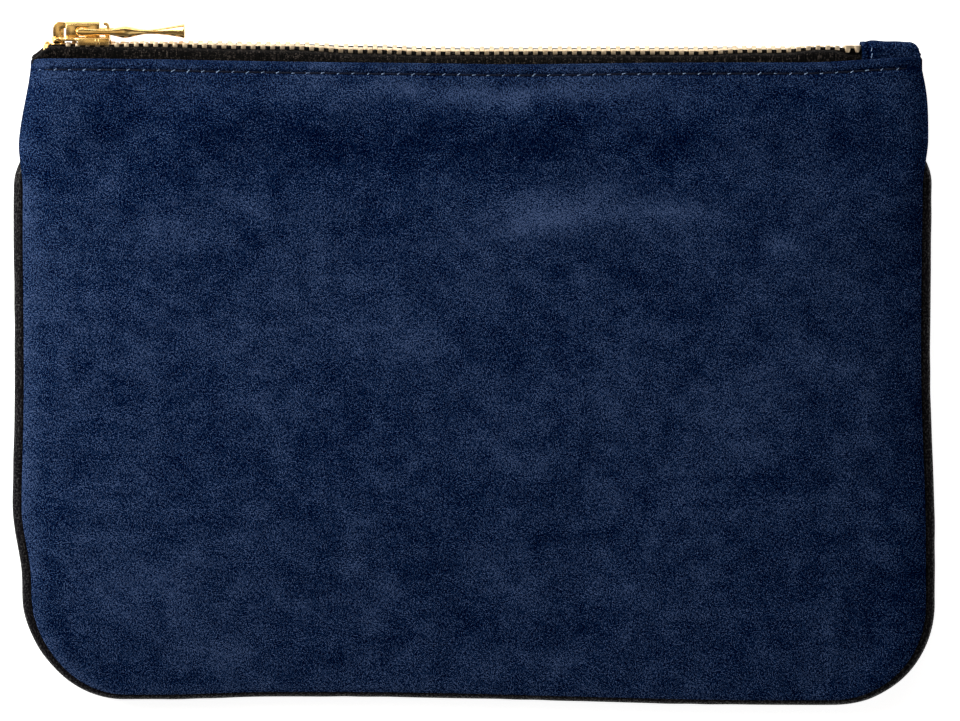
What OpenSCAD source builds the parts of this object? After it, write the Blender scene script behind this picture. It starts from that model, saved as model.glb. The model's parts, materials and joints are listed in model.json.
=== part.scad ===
// Flat suede pouch with a metal zip along its mouth, lying on its back.
// +X runs along the zip, +Y from the bottom seam to the mouth, +Z out of the front.

/* [Pouch] */
// Width across the piping
pouch_w = 238.8; // [220:0.2:260]
// Height from the bottom of the piping to the hem at the mouth
pouch_h = 166.7; // [150:0.1:190]
// Width at the hem
mouth_w = 231.2; // [224:0.2:232]
// Width where the piping stops, below the mouth
plain_w = 236; // [232:0.2:238]
// Thickness in the middle
pouch_t = 15; // [14:0.1:20]
// Thickness of each half at the hem, from the plane of the seams
mouth_t = 6.3; // [6.2:0.05:6.6]
// Height of the seams above the back
seam_z = 6.6; // [6.5:0.1:8]
// Outside radius of the lower corners
corner_r = 26; // [18:0.5:32]

/* [Suede and lining] */
// Thickness of the suede
suede_t = 1.2; // [0.8:0.1:1.3]
// Thickness of the turned-in hem
hem_t = 1.4; // [1.3:0.05:1.45]
// Thickness of the lining
lining_t = 0.4; // [0.3:0.05:0.5]
// Length of one top stitch
stitch_l = 2.9; // [2:0.1:3.2]
// Distance from one top stitch to the next
stitch_pitch = 3.9; // [3.6:0.1:5]

/* [Piping] */
// Outside diameter of the piping
piping_d = 4; // [3:0.1:4.4]
// Diameter of the cord inside it
cord_d = 2.6; // [2:0.1:2.8]

/* [Zip] */
// Distance from one tooth to the next on one tape
tooth_pitch = 2.53; // [2.4:0.01:2.7]
// Width of a tooth along the zip
tooth_w = 1.15; // [0.9:0.05:1.15]
// Width of the closed chain
chain_w = 5.8; // [5.6:0.1:6]
// Thickness of the chain
chain_t = 2.4; // [2.2:0.1:2.5]
// Thickness of the zip tape
tape_t = 0.55; // [0.4:0.05:0.6]
// Height of the chain above the hem
chain_rise = 2.96; // [2.9:0.02:3.2]
// Lean of the chain towards the front, in degrees
chain_lean = 8; // [0:0.5:10]
// Drop of the chain from the closed end to the open end
chain_fall = 1.1; // [0.6:0.1:1.1]

/* [Slider] */
// Length of the slider
slider_l = 16.1; // [15:0.1:17]
// Width of the slider at its wide end
slider_w = 8.6; // [8:0.1:8.6]
// Height of the slider's crown above the middle of the chain
crown_h = 6.45; // [6.2:0.05:7]
// Length of the puller from its pivot
puller_l = 26.9; // [24:0.1:30]

/* [Hidden] */
$fn = 48;

// Where things lie
crown_rise = 10.1;
base_y = -(pouch_h + crown_rise) / 2;
hem_y = base_y + pouch_h;
tube_r = piping_d / 2;
seam_x = pouch_w / 2 - tube_r;
seam_y = base_y + tube_r;
seam_r = corner_r - tube_r;
pipe_top = 47.5;
flange_t = 0.5;
flange_w = 8;

// The panels' rims sit just inside the piping
fit_gap = 0.35;
rim_gap = flange_t / 2 + 0.3;
rim_in = tube_r + fit_gap;
plain_y = pipe_top + 10;
hem_deep = 10;
front_rise = pouch_t - seam_z;
back_mouth_t = mouth_t - 0.2;
lining_in = 9;
lining_gap = 0.15;
lining_off = suede_t + 0.3;
lining_off_top = 2.95;
lining_drop = 2.6;

// Grid of a panel
cols = 24;
corner_rows = 5;
rows = 19;

// Chain
chain_y = hem_y + chain_rise;
bead_v = 2.1;
bead_r = 0.62;
hole_r = bead_r + 0.06;
slot_h = tape_t + 0.1;
head_v = 0.75;
head_u = 0.75;
slider_x = -102.1;
stroke = 188;
first_tooth = slider_x - 3.2;
bottom_stop_x = 96.2;
bottom_stop_l = 4.5;
tape_left = -112.4;
tape_right = bottom_stop_x + bottom_stop_l + 0.2;
tail_x = 98;
tail_from = -3.3;
tail_drop = 8.7;
tail_z = 4.15;
// The tapes stand further apart up to here, round the closed slider
wide_to = -90;

// Slider
plate_in = chain_t / 2 + 0.25;
plate_t = 0.85;
plate_out = plate_in + plate_t;
flange_in = chain_w / 2 + 0.25;
flange_gap = 0.6;
narrow_w = slider_w - 0.8;
lug_w = 3.6;
cap_from = -4.4;
cap_to = 4.9;
cap_low = plate_out + 0.05;
pivot_s = 0.2;
pivot_u = 3.9;
pivot_r = 0.8;
window_w = lug_w + 0.6;
arm_w = 6.4;

// End tab
tab_from = 101.2;
tab_to = 113.6;
tab_low = 76;
tab_t = 0.9;
tab_half = [3.9, 1.5];
tab_top = [82.75, 82.3];

suede = "midnightblue";
black = "#16161c";
gold = "goldenrod";
twill = "#1d2238";
thread = "#26305c";

// ---- Shape of the pouch ----

function ramp(t, from, to) =
  let (k = max(0, min(1, (t - from) / (to - from))))
  k * k * (3 - 2 * k);

function mix(a, b, k) = a + (b - a) * k;

// Half width of a panel's straight side, before its lower corners are rounded
function side_half(y) =
  seam_x - rim_in
  + (plain_w / 2 - seam_x + rim_in) * ramp(y, pipe_top + 1, plain_y)
  - (plain_w - mouth_w) / 2 * ramp(y, plain_y, hem_y);

function panel_half(y, inset) =
  let (r = seam_r - rim_in - inset, up = y - (seam_y + rim_in + inset))
  side_half(y) - inset - (up < r ? r - sqrt(max(0, r * r - (r - up) * (r - up))) : 0);

// Height of grid row j, closer together round the lower corners
function row_y(j, inset, top) =
  let (r = seam_r - rim_in - inset, low = seam_y + rim_in + inset)
  j <= corner_rows
    ? low + r * (1 - cos(90 * j / corner_rows))
    : mix(low + r, top, (j - corner_rows) / (rows - corner_rows));

// How full a panel is, from 0 at its seams to 1
function fullness(a, q) =
  let (n = mix(16, 4, ramp(q, 0, 0.35)))
  sqrt(max(0, (1 - pow(abs(a), n)) * (1 - pow(q, 5))));

function down(y, inset) = max(0, min(1, (hem_y - y) / (hem_y - seam_y - rim_in - inset)));

function front_height(q) = mix(mouth_t, front_rise, 1 - pow(1 - 2 * min(q, 0.5 + q / 2), 2));

function back_height(q) = mix(back_mouth_t, seam_z, ramp(q, 0, 0.12));

function flattened(f) = min(1, 1.08 * (1 - (1 - f) * (1 - f)));

function front_z(a, q, gap, off) =
  seam_z + gap + (front_height(q) - gap - off) * fullness(a, q);

function back_z(a, q, gap, off) =
  seam_z - gap - (back_height(q) - gap - off) * flattened(fullness(a, q));

function panel_off(y) = mix(suede_t, hem_t, ramp(y, hem_y - hem_deep - 4, hem_y - hem_deep));

function lining_at(y) = mix(lining_off, lining_off_top, ramp(y, hem_y - 22, hem_y - 14));

// One face of a panel or lining, as a grid of points
function face_grid(front, inset, gap, top, skin, lined) =
  [for (j = [0:rows]) let (y = row_y(j, inset, top), q = down(y, inset), half = panel_half(y, inset))
    for (i = [0:cols]) let (
      a = sin(90 * (2 * i / cols - 1)),
      off = skin * (lined ? lining_t : panel_off(y)) + (lined ? lining_at(y) : 0))
    [a * half, y, front ? front_z(a, q, gap, off) : back_z(a, q, gap, off)]];

// ---- Shared shapes ----

// A sheet between an outer and an inner grid of points
module sheet_solid(outer, inner, front) {
  wide = cols + 1;
  total = wide * (rows + 1);
  edge = concat(
    [for (i = [0:cols]) i],
    [for (j = [1:rows]) j * wide + cols],
    [for (i = [cols - 1:-1:0]) rows * wide + i],
    [for (j = [rows - 1:-1:1]) j * wide]);
  skins = [for (j = [0:rows - 1], i = [0:cols - 1]) let (p = j * wide + i) each [
    [p, p + wide, p + wide + 1],
    [p, p + wide + 1, p + 1],
    [total + p, total + p + 1, total + p + wide + 1],
    [total + p, total + p + wide + 1, total + p + wide]]];
  rims = [for (k = [0:len(edge) - 1]) let (p = edge[k], n = edge[(k + 1) % len(edge)]) each [
    [p, n, total + n],
    [p, total + n, total + p]]];
  faces = concat(skins, rims);
  polyhedron(
    concat(outer, inner),
    front ? faces : [for (f = faces) [f[2], f[1], f[0]]],
    convexity = 6);
}

// A round bar from p to q
module rod(p, q, r) {
  d = q - p;
  translate(p)
    rotate([0, acos(d[2] / norm(d)), atan2(d[1], d[0])])
      cylinder(h = norm(d), r = r, $fn = 16);
}

// Sweeps a section round the sides and bottom: its x points outwards and its y up
module along_seam() {
  straight_x = seam_x - seam_r;
  straight_y = pipe_top - seam_y - seam_r;
  translate([0, seam_y, seam_z])
    rotate([90, 0, -90])
      linear_extrude(2 * straight_x, center = true) children();
  for (side = [0, 1]) {
    mirror([side, 0, 0]) {
      translate([straight_x, seam_y + seam_r, seam_z])
        rotate([0, 0, -90])
          rotate_extrude(angle = 90, $fn = 96) translate([seam_r, 0]) children();
      translate([seam_x, pipe_top, seam_z])
        rotate([90, 0, 0])
          linear_extrude(straight_y) children();
    }
  }
}

// Point at distance s round the seam, inset towards the middle
function seam_point(s, inset) =
  let (
    r = seam_r - inset,
    side = pipe_top - seam_y - seam_r,
    turn = PI / 2 * r,
    low = 2 * (seam_x - seam_r),
    x = seam_x - seam_r,
    y = seam_y + seam_r)
  s < side ? [-x - r, pipe_top - s]
  : s < side + turn
    ? let (a = (s - side) / turn * 90) [-x - r * cos(a), y - r * sin(a)]
  : s < side + turn + low ? [-x + s - side - turn, y - r]
  : s < side + 2 * turn + low
    ? let (a = (s - side - turn - low) / turn * 90) [x + r * sin(a), y - r * cos(a)]
  : [x + r, y + s - side - 2 * turn - low];

function seam_length(inset) =
  2 * (pipe_top - seam_y - seam_r) + PI * (seam_r - inset) + 2 * (seam_x - seam_r);

// Puts its children's x axis along the chain, upright
module along_chain() {
  translate([0, chain_y, seam_z])
    rotate([0, 0, -atan(chain_fall / stroke)])
      children();
}

// Puts its children on the chain: x along it, y out of the mouth, z to the front
module on_chain() {
  along_chain() rotate([chain_lean, 0, 0]) children();
}

// Extrudes an outline drawn as [y, z] along x, from x
module along_x(x, length) {
  translate([x, 0, 0])
    rotate([90, 0, 90])
      linear_extrude(length) children();
}

// Extrudes an outline drawn as [x, z], symmetric in z, upwards from y
module along_y(y, length) {
  translate([0, y, 0])
    rotate([-90, 0, 0])
      linear_extrude(length) children();
}

// Extrudes an outline drawn as [x, y] through z, from -half to half
module along_z(half) {
  linear_extrude(2 * half, center = true) children();
}

// ---- Suede, lining and piping ----

module panel(front) {
  sheet_solid(
    face_grid(front, 0, rim_gap, hem_y, 0, false),
    face_grid(front, suede_t, rim_gap, hem_y, 1, false),
    front);
}

module lining(front) {
  top = hem_y - lining_drop;
  sheet_solid(
    face_grid(front, lining_in, lining_gap, top, 0, true),
    face_grid(front, lining_in + lining_t, lining_gap, top, 1, true),
    front);
}

module front_panel() {
  color(suede) panel(true);
}

module back_panel() {
  color(suede) panel(false);
}

module front_lining() {
  color(twill) lining(true);
}

module back_lining() {
  color(twill) lining(false);
}

module piping_cover() {
  color(black)
    along_seam()
      difference() {
        union() {
          circle(tube_r);
          translate([-flange_w, -flange_t / 2]) square([flange_w, flange_t]);
        }
        circle(cord_d / 2 + 0.05);
      }
}

module piping_cord() {
  color("whitesmoke") along_seam() circle(cord_d / 2);
}

module seam_thread() {
  inset = 5;
  thread_r = 0.15;
  z = seam_z + flange_t / 2 + thread_r + 0.02;
  count = floor(seam_length(inset) / stitch_pitch);
  color(thread)
    for (k = [0:count - 1]) {
      p = seam_point((k + 0.12) * stitch_pitch, inset);
      q = seam_point((k + 0.88) * stitch_pitch, inset);
      rod([p[0], p[1], z], [q[0], q[1], z], thread_r);
    }
}

module topstitch(front) {
  thread_r = 0.2;
  y = hem_y - 2.9;
  half = panel_half(y, 0);
  q = down(y, 0);
  lift = (thread_r + 0.06) * (front ? 1 : -1);
  count = floor((mouth_w - 12) / stitch_pitch);
  color(thread)
    for (k = [0:count - 1]) {
      x = (k - (count - 1) / 2) * stitch_pitch;
      ends = [for (e = [-stitch_l / 2, stitch_l / 2]) let (a = (x + e) / half)
        [x + e, y, (front ? front_z(a, q, rim_gap, 0) : back_z(a, q, rim_gap, 0)) + lift]];
      rod(ends[0], ends[1], thread_r);
    }
}

module front_topstitch() {
  topstitch(true);
}

module back_topstitch() {
  topstitch(false);
}

// ---- End tab over the open end of the zip ----

module tab_wedge(inset) {
  hull() {
    translate([tab_from, tab_low, seam_z - tab_half[0] + inset])
      cube([0.01, tab_top[0] - inset - tab_low, 2 * (tab_half[0] - inset)]);
    translate([tab_to - inset, tab_low, seam_z - tab_half[1] + inset])
      cube([0.01, tab_top[1] - inset - tab_low, 2 * (tab_half[1] - inset)]);
  }
}

module end_tab() {
  color(suede)
    difference() {
      tab_wedge(0);
      translate([-0.02, -0.02, 0]) tab_wedge(tab_t);
    }
}

module tab_stitch() {
  x = tab_from + 2.1;
  along = (x - tab_from) / (tab_to - tab_from);
  half = mix(tab_half[0], tab_half[1], along);
  color(thread)
    for (side = [-1, 1], y = [79.2, 81.6]) {
      z = seam_z + side * (half + 0.25);
      rod([x, y - 0.8, z], [x, y + 0.8, z], 0.15);
    }
}

// ---- Zip: tapes, cords, teeth and stops ----

// Offsets a path [z, y] to both sides, as one closed outline drawn as [y, z]
function ribbon(path, t) =
  let (
    last = len(path) - 1,
    normal = [for (k = [0:last]) let (
      d = path[min(k + 1, last)] - path[max(k - 1, 0)])
      [-d[1], d[0]] / norm(d) * t / 2])
  concat(
    [for (k = [0:last]) path[k] + normal[k]],
    [for (k = [last:-1:0]) path[k] - normal[k]]);

function swapped(points) = [for (p = points) [p[1], p[0]]];

// Middle line of a tape from its bead to behind the hem, from the middle of the chain.
// It stands out to reach, and is in behind the hem at knee.
function tape_path(side, reach, knee) =
  let (
    start = bead_v + bead_r + 0.04,
    r = 0.9,
    bend = reach - r,
    flat_y = -side * bend * sin(chain_lean))
  concat(
    [[side * start * cos(chain_lean), -side * start * sin(chain_lean)]],
    [for (k = [0:4]) [side * (bend + r * sin(22.5 * k)), flat_y - r * (1 - cos(22.5 * k))]],
    [[side * reach, knee + 0.6], [side * tail_z, knee],
     [side * tail_z, min(tail_from, knee - 0.4)]]);

module tape(side) {
  along_chain() {
    along_x(tape_left, wide_to - tape_left)
      polygon(swapped(ribbon(tape_path(side, side > 0 ? 4.6 : 5.2, -3.2), tape_t)));
    along_x(wide_to, tape_right - wide_to)
      polygon(swapped(ribbon(tape_path(side, 4.4, -2.2), tape_t)));
    along_x(-tail_x, 2 * tail_x)
      translate([tail_from - tail_drop, side * tail_z - tape_t / 2])
        square([tail_drop, tape_t]);
  }
}

module front_tape() {
  color(black) tape(1);
}

module back_tape() {
  color(black) tape(-1);
}

module bead(side) {
  color(black)
    on_chain()
      translate([tape_left, 0, side * bead_v])
        rotate([0, 90, 0])
          cylinder(h = tape_right - tape_left, r = bead_r);
}

module front_bead() {
  bead(1);
}

module back_bead() {
  bead(-1);
}

// Outline of a clamped metal element, drawn as [y, z], with the hole and slot for its tape
module element(side, reach) {
  u = chain_t / 2;
  v = chain_w / 2;
  outline = [[-u, 1.5], [-u + 0.35, 1.15], [-head_u, 1.15], [-head_u, -reach + 0.2],
    [-head_u + 0.25, -reach], [head_u - 0.25, -reach], [head_u, -reach + 0.2],
    [head_u, 1.15], [u - 0.35, 1.15], [u, 1.5], [u, v - 0.35], [u - 0.3, v],
    [-u + 0.3, v], [-u, v - 0.35]];
  difference() {
    polygon([for (p = outline) [p[0], side * p[1]]]);
    translate([0, side * bead_v]) circle(hole_r);
    translate([0, side * (bead_v + 1)]) square([slot_h, 2], center = true);
  }
}

module teeth(side, shift) {
  last = floor((bottom_stop_x - 1 - first_tooth - shift) / tooth_pitch);
  color(gold)
    on_chain()
      for (k = [0:last])
        along_x(first_tooth + shift + k * tooth_pitch - tooth_w / 2, tooth_w)
          element(side, head_v);
}

module front_teeth() {
  teeth(1, 0);
}

module back_teeth() {
  teeth(-1, tooth_pitch / 2);
}

module top_stop(side) {
  color(gold)
    on_chain()
      along_x(slider_x - slider_l / 2 - 1.6, 1.2)
        element(side, -0.9);
}

module front_top_stop() {
  top_stop(1);
}

module back_top_stop() {
  top_stop(-1);
}

module bottom_stop() {
  u = chain_t / 2 + 0.05;
  color(gold)
    on_chain()
      difference() {
        along_x(bottom_stop_x, bottom_stop_l)
          difference() {
            square([2 * u, chain_w + 0.2], center = true);
            for (side = [-1, 1]) {
              translate([0, side * bead_v]) circle(hole_r);
              translate([0, side * (bead_v + 1)]) square([slot_h, 2], center = true);
            }
          }
        for (side = [-1, 1])
          translate([bottom_stop_x + 2.2, -u - 1, side * chain_w / 2 - 0.4])
            cube([1, u + 1.3, 0.8]);
      }
}

// ---- Slider ----

module plate_outline() {
  wide = slider_w / 2;
  narrow = narrow_w / 2;
  end = slider_l / 2;
  outline = [[-end, 1.9], [-end + 0.5, 3], [-end + 1.9, wide], [-2.6, wide], [-0.6, narrow],
    [end - 0.5, narrow], [end, narrow - 0.5]];
  polygon(concat(outline, [for (k = [len(outline) - 1:-1:0]) [outline[k][0], -outline[k][1]]]));
}

module slider_flanges() {
  narrow = narrow_w / 2;
  for (side = [-1, 1], up = [-1, 1])
    translate([-0.6, up > 0 ? flange_gap : -plate_in - 0.1, side > 0 ? flange_in : -narrow])
      cube([slider_l / 2 + 0.1, plate_in + 0.1 - flange_gap, narrow - flange_in]);
}

module slider_body() {
  end = slider_l / 2;
  color(gold)
    on_chain()
      translate([slider_x, 0, 0])
        difference() {
          union() {
            along_y(plate_in, plate_t) plate_outline();
            along_y(-plate_out, plate_t) plate_outline();
            slider_flanges();
            // the wedge that parts the teeth
            along_y(-plate_in - 0.1, 2 * plate_in + 0.2)
              polygon([[-end + 0.1, 0.9], [-end + 1.4, 1.3], [-5.4, 1.2], [-4.2, 0.35],
                [-4.2, -0.35], [-5.4, -1.2], [-end + 1.4, -1.3], [-end + 0.1, -0.9]]);
            // the post that holds the crown
            along_z(lug_w / 2)
              difference() {
                polygon([[-7.2, plate_out - 0.2], [cap_from, plate_out - 0.2], [cap_from, crown_h - 0.1],
                  [-5.9, crown_h - 0.1], [-6.8, crown_h - 0.7], [-7.2, crown_h - 1.8]]);
                translate([cap_from, 3.6]) circle(0.9);
              }
            along_z(1.2)
              translate([cap_from - 1, 2.6]) square([1, 2]);
            // the hooked post behind the puller's bar
            along_z(lug_w / 2)
              polygon([[6.3, plate_out - 0.2], [7.4, plate_out - 0.2], [7.4, crown_h - 1.2],
                [6.9, crown_h - 0.4], [6.2, crown_h - 0.2], [5.7, crown_h - 0.5],
                [5.7, crown_h - 1], [6.1, crown_h - 1.1], [6.3, crown_h - 1.5]]);
          }
          // the hole for the locking pin
          translate([2.9, 0, -0.7]) cube([1.1, 4, 1.4]);
        }
}

module slider_cap() {
  color(gold)
    on_chain()
      translate([slider_x, 0, 0])
        difference() {
          translate([cap_from, cap_low, -lug_w / 2]) cube([cap_to - cap_from, crown_h - cap_low, lug_w]);
          // hollow, for the locking pin
          translate([cap_from + 0.5, cap_low - 0.1, -1.2])
            cube([cap_to - cap_from - 1, crown_h - cap_low - 0.4, 2.4]);
          // slots in both walls, for the puller's bar
          translate([pivot_s - pivot_r - 0.05, cap_low - 0.1, -lug_w / 2 - 0.1])
            cube([2 * pivot_r + 0.1, pivot_u + pivot_r + 0.15 - cap_low, lug_w + 0.2]);
        }
}

module lock_pin() {
  color("silver")
    on_chain()
      translate([slider_x, 0, 0]) {
        difference() {
          union() {
            translate([-3.6, 4.95, -0.9]) cube([7.4, 0.3, 1.8]);
            translate([3.1, chain_t / 2 + 0.1, -0.5]) cube([0.7, 3.8, 1]);
          }
          translate([3.1, chain_t / 2 - 0.3, 0.25]) cube([0.3, 0.8, 0.5]);
        }
      }
}

// ---- Puller ----

// Half thickness of the puller at distance s from its pivot: a shoulder, a waist and a flared end
function puller_half_t(s) =
  s < 11.4 ? mix(0.9, 1.15, ramp(s, 5, 11.4))
  : s < 18 ? mix(1.15, 0.65, ramp(s, 11.4, 18))
  : mix(0.65, 1.9, pow((s - 18) / (puller_l - 18), 1.7));

function puller_half_w(s) =
  s < 11.4 ? arm_w / 2
  : s < 18 ? mix(arm_w / 2, 1.7, ramp(s, 11.4, 18))
  : mix(1.7, 3.4, pow((s - 18) / (puller_l - 18), 1.5));

module puller_outline(half_at) {
  steps = 18;
  s = [for (k = [0:steps]) puller_l * k / steps];
  polygon(concat(
    [for (k = [0:steps]) [s[k], half_at[k]]],
    [for (k = [steps:-1:0]) [s[k], -half_at[k]]]));
}

module puller() {
  steps = 18;
  sides = [for (k = [0:steps]) puller_half_t(puller_l * k / steps)];
  plan = [for (k = [0:steps]) puller_half_w(puller_l * k / steps)];
  eye_r = 1.3;
  window_l = 8.1;
  color(gold)
    on_chain()
      translate([slider_x + pivot_s, pivot_u, 0]) {
        difference() {
          union() {
            intersection() {
              along_z(arm_w) puller_outline(sides);
              along_y(-3, 6) puller_outline(plan);
            }
            cylinder(h = arm_w, r = eye_r, center = true);
          }
          translate([-2, -3, -window_w / 2]) cube([window_l + 2, 6, window_w]);
        }
        cylinder(h = window_w + 0.4, r = pivot_r, center = true);
      }
}

front_panel();
back_panel();
front_lining();
back_lining();
piping_cover();
piping_cord();
seam_thread();
front_tape();
back_tape();
front_bead();
back_bead();
front_teeth();
back_teeth();
front_top_stop();
back_top_stop();
bottom_stop();
slider_body();
slider_cap();
lock_pin();
puller();
end_tab();
front_topstitch();
back_topstitch();
tab_stitch();
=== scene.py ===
"""Suede zip pouch: the looks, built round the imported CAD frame.

Lengths are in millimetres, in the frame's own axes, and become metres in make(). Only the floor, the lamps
and the camera are placed in metres.
"""

import json
import math

import bmesh
import bpy
import numpy as np
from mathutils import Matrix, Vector


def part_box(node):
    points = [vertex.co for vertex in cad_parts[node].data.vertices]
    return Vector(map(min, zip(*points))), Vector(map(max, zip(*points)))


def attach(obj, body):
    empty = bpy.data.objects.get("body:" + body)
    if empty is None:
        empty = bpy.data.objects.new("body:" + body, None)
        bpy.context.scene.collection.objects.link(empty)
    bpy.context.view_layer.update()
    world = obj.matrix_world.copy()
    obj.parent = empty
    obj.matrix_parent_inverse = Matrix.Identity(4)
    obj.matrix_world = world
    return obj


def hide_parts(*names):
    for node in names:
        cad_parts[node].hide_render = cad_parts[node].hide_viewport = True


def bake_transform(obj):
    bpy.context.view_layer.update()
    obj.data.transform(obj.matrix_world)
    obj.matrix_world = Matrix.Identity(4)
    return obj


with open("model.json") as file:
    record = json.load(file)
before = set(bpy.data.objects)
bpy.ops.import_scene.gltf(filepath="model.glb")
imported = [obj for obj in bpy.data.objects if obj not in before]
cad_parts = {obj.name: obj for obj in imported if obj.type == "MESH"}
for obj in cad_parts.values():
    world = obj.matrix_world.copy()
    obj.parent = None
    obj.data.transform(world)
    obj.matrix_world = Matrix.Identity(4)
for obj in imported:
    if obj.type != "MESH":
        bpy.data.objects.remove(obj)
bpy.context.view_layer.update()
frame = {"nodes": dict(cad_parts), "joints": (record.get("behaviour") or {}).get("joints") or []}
MM = 0.001
rng = np.random.default_rng(7)


# ---------------------------------------------------------------- the frame, in millimetres


def cad_box(node):
    lo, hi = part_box(node)
    return np.array(lo) / MM, np.array(hi) / MM


joints = {j["name"]: j for j in frame["joints"]}
pipe_lo, pipe_hi = cad_box("piping_cover")
panel_hi = cad_box("front_panel")[1]

TUBE_R = (pipe_hi[2] - pipe_lo[2]) / 2
SEAM_Z = (pipe_hi[2] + pipe_lo[2]) / 2
SEAM_X = pipe_hi[0] - TUBE_R
SEAM_Y = pipe_lo[1] + TUBE_R
PIPE_TOP = pipe_hi[1]
HEM_Y = panel_hi[1]
FRONT_RISE = panel_hi[2] - SEAM_Z
SEAM_R = 24.0

# The chain's own axes: s along it from the slider's middle, u out of the mouth, v to the front
ALONG = np.array(joints["zip_slide"]["axis"])
UP = np.array(joints["lock_lift"]["axis"])
ACROSS = np.array(joints["puller_swing"]["axis"])
PIVOT_S, PIVOT_U = 0.2, 3.9
SLIDER = np.array(joints["puller_swing"]["pos_m"]) / MM - PIVOT_S * ALONG - PIVOT_U * UP

TOOTH_PITCH = 2.53
TOOTH_W = 1.22
BEAD_V, BEAD_R = 2.1, 0.7
TAPE_T = 0.45
BOTTOM_STOP_X = cad_box("bottom_stop")[0][0]

# The suede's edge lies EDGE_IN inside the piping's middle. PLAIN_X and MOUTH_X are its half widths where
# the side seam has no piping and at the mouth, and MOUTH_T is how far the hem stands from the seam's plane
SUEDE_T = 0.75
EDGE_IN = 0.6
PLAIN_X = 118.2
MOUTH_X = 115.6
MOUTH_T = 6.3
CORD_R = 1.25

# The topstitching: STITCH_DOWN below the hem's fold
STITCH_PITCH = 3.9
STITCH_L = 3.0
STITCH_DOWN = 2.9

# The open mouth runs between these, and the front pieces are split where it is widest
MOUTH_LEFT = -114.0
MOUTH_RIGHT = 80.0
SPLIT = (MOUTH_LEFT + MOUTH_RIGHT) / 2


# ---------------------------------------------------------------- small helpers


def ramp(t, a, b):
    k = np.clip((np.asarray(t, float) - a) / (b - a), 0, 1)
    return k * k * (3 - 2 * k)


def mix(a, b, k):
    return a + (b - a) * k


def bell(t, middle, reach):
    return np.exp(-(((t - middle) / reach) ** 2))


def rises(x, *changes):
    """The sum of soft steps, each an amount and where it starts and ends."""
    return sum(amount * ramp(x, start, end) for amount, start, end in changes)


def chain_sag(x):
    """How far the soft mouth lets the chain rise or drop from the straight line of the slide."""
    left = (0.2, -95, -85), (-0.2, -70, -58), (-0.65, -48, -30), (-0.4, -26, -12)
    return rises(x, *left, (0.4, -14, 52), (0.4, 56, 70), (0.45, 80, 90), (-0.2, 93, 97))


def chain_tip(x):
    """How much more than the slider the chain leans to the front, in radians."""
    left = (-3, -95, -88), (7, -86, -64), (5, -54, -26)
    return np.radians(rises(x, *left, (-2.5, -14, 0), (-5, 62, 74), (-8.5, 78, 90)))


def on_chain(points):
    """Puts (s, u, v) points on the slider's straight axes."""
    p = np.asarray(points, float)
    return SLIDER + p[..., :1] * ALONG + p[..., 1:2] * UP + p[..., 2:3] * ACROSS


def on_soft_chain(points):
    """Puts (s, u, v) points on the chain as it really lies, sagging and tipped."""
    p = np.array(points, float)
    x = SLIDER[0] + p[..., 0]
    tip, sag = chain_tip(x), chain_sag(x)
    u, v = p[..., 1].copy(), p[..., 2].copy()
    p[..., 1] = u * np.cos(tip) - v * np.sin(tip) + sag
    p[..., 2] = u * np.sin(tip) + v * np.cos(tip)
    return on_chain(p)


def make(name, verts, faces, material, uv=None, sharp=None):
    """A mesh object from points in millimetres."""
    mesh = bpy.data.meshes.new(name)
    mesh.from_pydata((np.asarray(verts, float) * MM).tolist(), [], [list(map(int, f)) for f in faces])
    mesh.validate()
    obj = bpy.data.objects.new(name, mesh)
    bpy.context.scene.collection.objects.link(obj)
    if material is not None:
        mesh.materials.append(material)
    mesh.shade_smooth()
    if uv is not None:
        add_uv(mesh, uv)
    if sharp is not None:
        mesh.set_sharp_from_angle(angle=math.radians(sharp))
    return obj


def add_uv(mesh, uv):
    layer = mesh.uv_layers.new(name="UVMap")
    loops = np.zeros(len(mesh.loops), np.int32)
    mesh.loops.foreach_get("vertex_index", loops)
    layer.data.foreach_set("uv", (np.asarray(uv, float) * MM)[loops].astype(np.float32).ravel())


def grid_faces(rows, cols, wrap=False, flipped=False):
    """The quads of a grid of points, rows first. wrap joins the last column to the first."""
    faces = []
    for r in range(rows - 1):
        for c in range(cols if wrap else cols - 1):
            near, far = r * cols, (r + 1) * cols
            after = (c + 1) % cols
            faces.append((near + c, near + after, far + after, far + c))
    return [f[::-1] for f in faces] if flipped else faces


def baked(obj):
    """Applies obj's modifiers, so that the mesh is final."""
    graph = bpy.context.evaluated_depsgraph_get()
    mesh = bpy.data.meshes.new_from_object(obj.evaluated_get(graph))
    old = obj.data
    obj.modifiers.clear()
    obj.data = mesh
    bpy.data.meshes.remove(old)
    return obj


def solidify(obj, thickness, offset=-1.0):
    m = obj.modifiers.new("thickness", "SOLIDIFY")
    m.thickness = thickness * MM
    m.offset = offset
    m.use_even_offset = False
    baked(obj)
    obj.data.set_sharp_from_angle(angle=math.radians(50))
    return obj


def tube(path, radius, sides=12, outward=None):
    """Verts, faces and uv of a tube along path, of one radius or one for each point."""
    path = np.asarray(path, float)
    n = len(path)
    radius = np.broadcast_to(np.asarray(radius, float), (n,))
    tangent = np.gradient(path, axis=0)
    tangent /= np.linalg.norm(tangent, axis=1)[:, None]
    up = np.array([0.0, 0, 1]) if outward is None else np.asarray(outward, float)
    side = np.cross(tangent, up)
    side /= np.linalg.norm(side, axis=1)[:, None]
    top = np.cross(side, tangent)
    angle = 2 * np.pi * np.arange(sides) / sides
    ring = side[:, None] * np.cos(angle)[None, :, None] + top[:, None] * np.sin(angle)[None, :, None]
    verts = (path[:, None] + ring * radius[:, None, None]).reshape(-1, 3)
    faces = grid_faces(n, sides, wrap=True)
    run = np.r_[0, np.cumsum(np.linalg.norm(np.diff(path, axis=0), axis=1))]
    uv = np.stack([np.repeat(run, sides), np.tile(angle * radius.mean(), n)], 1)
    faces += [tuple(range(sides))[::-1], tuple((n - 1) * sides + k for k in range(sides))]
    return verts, faces, uv


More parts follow.
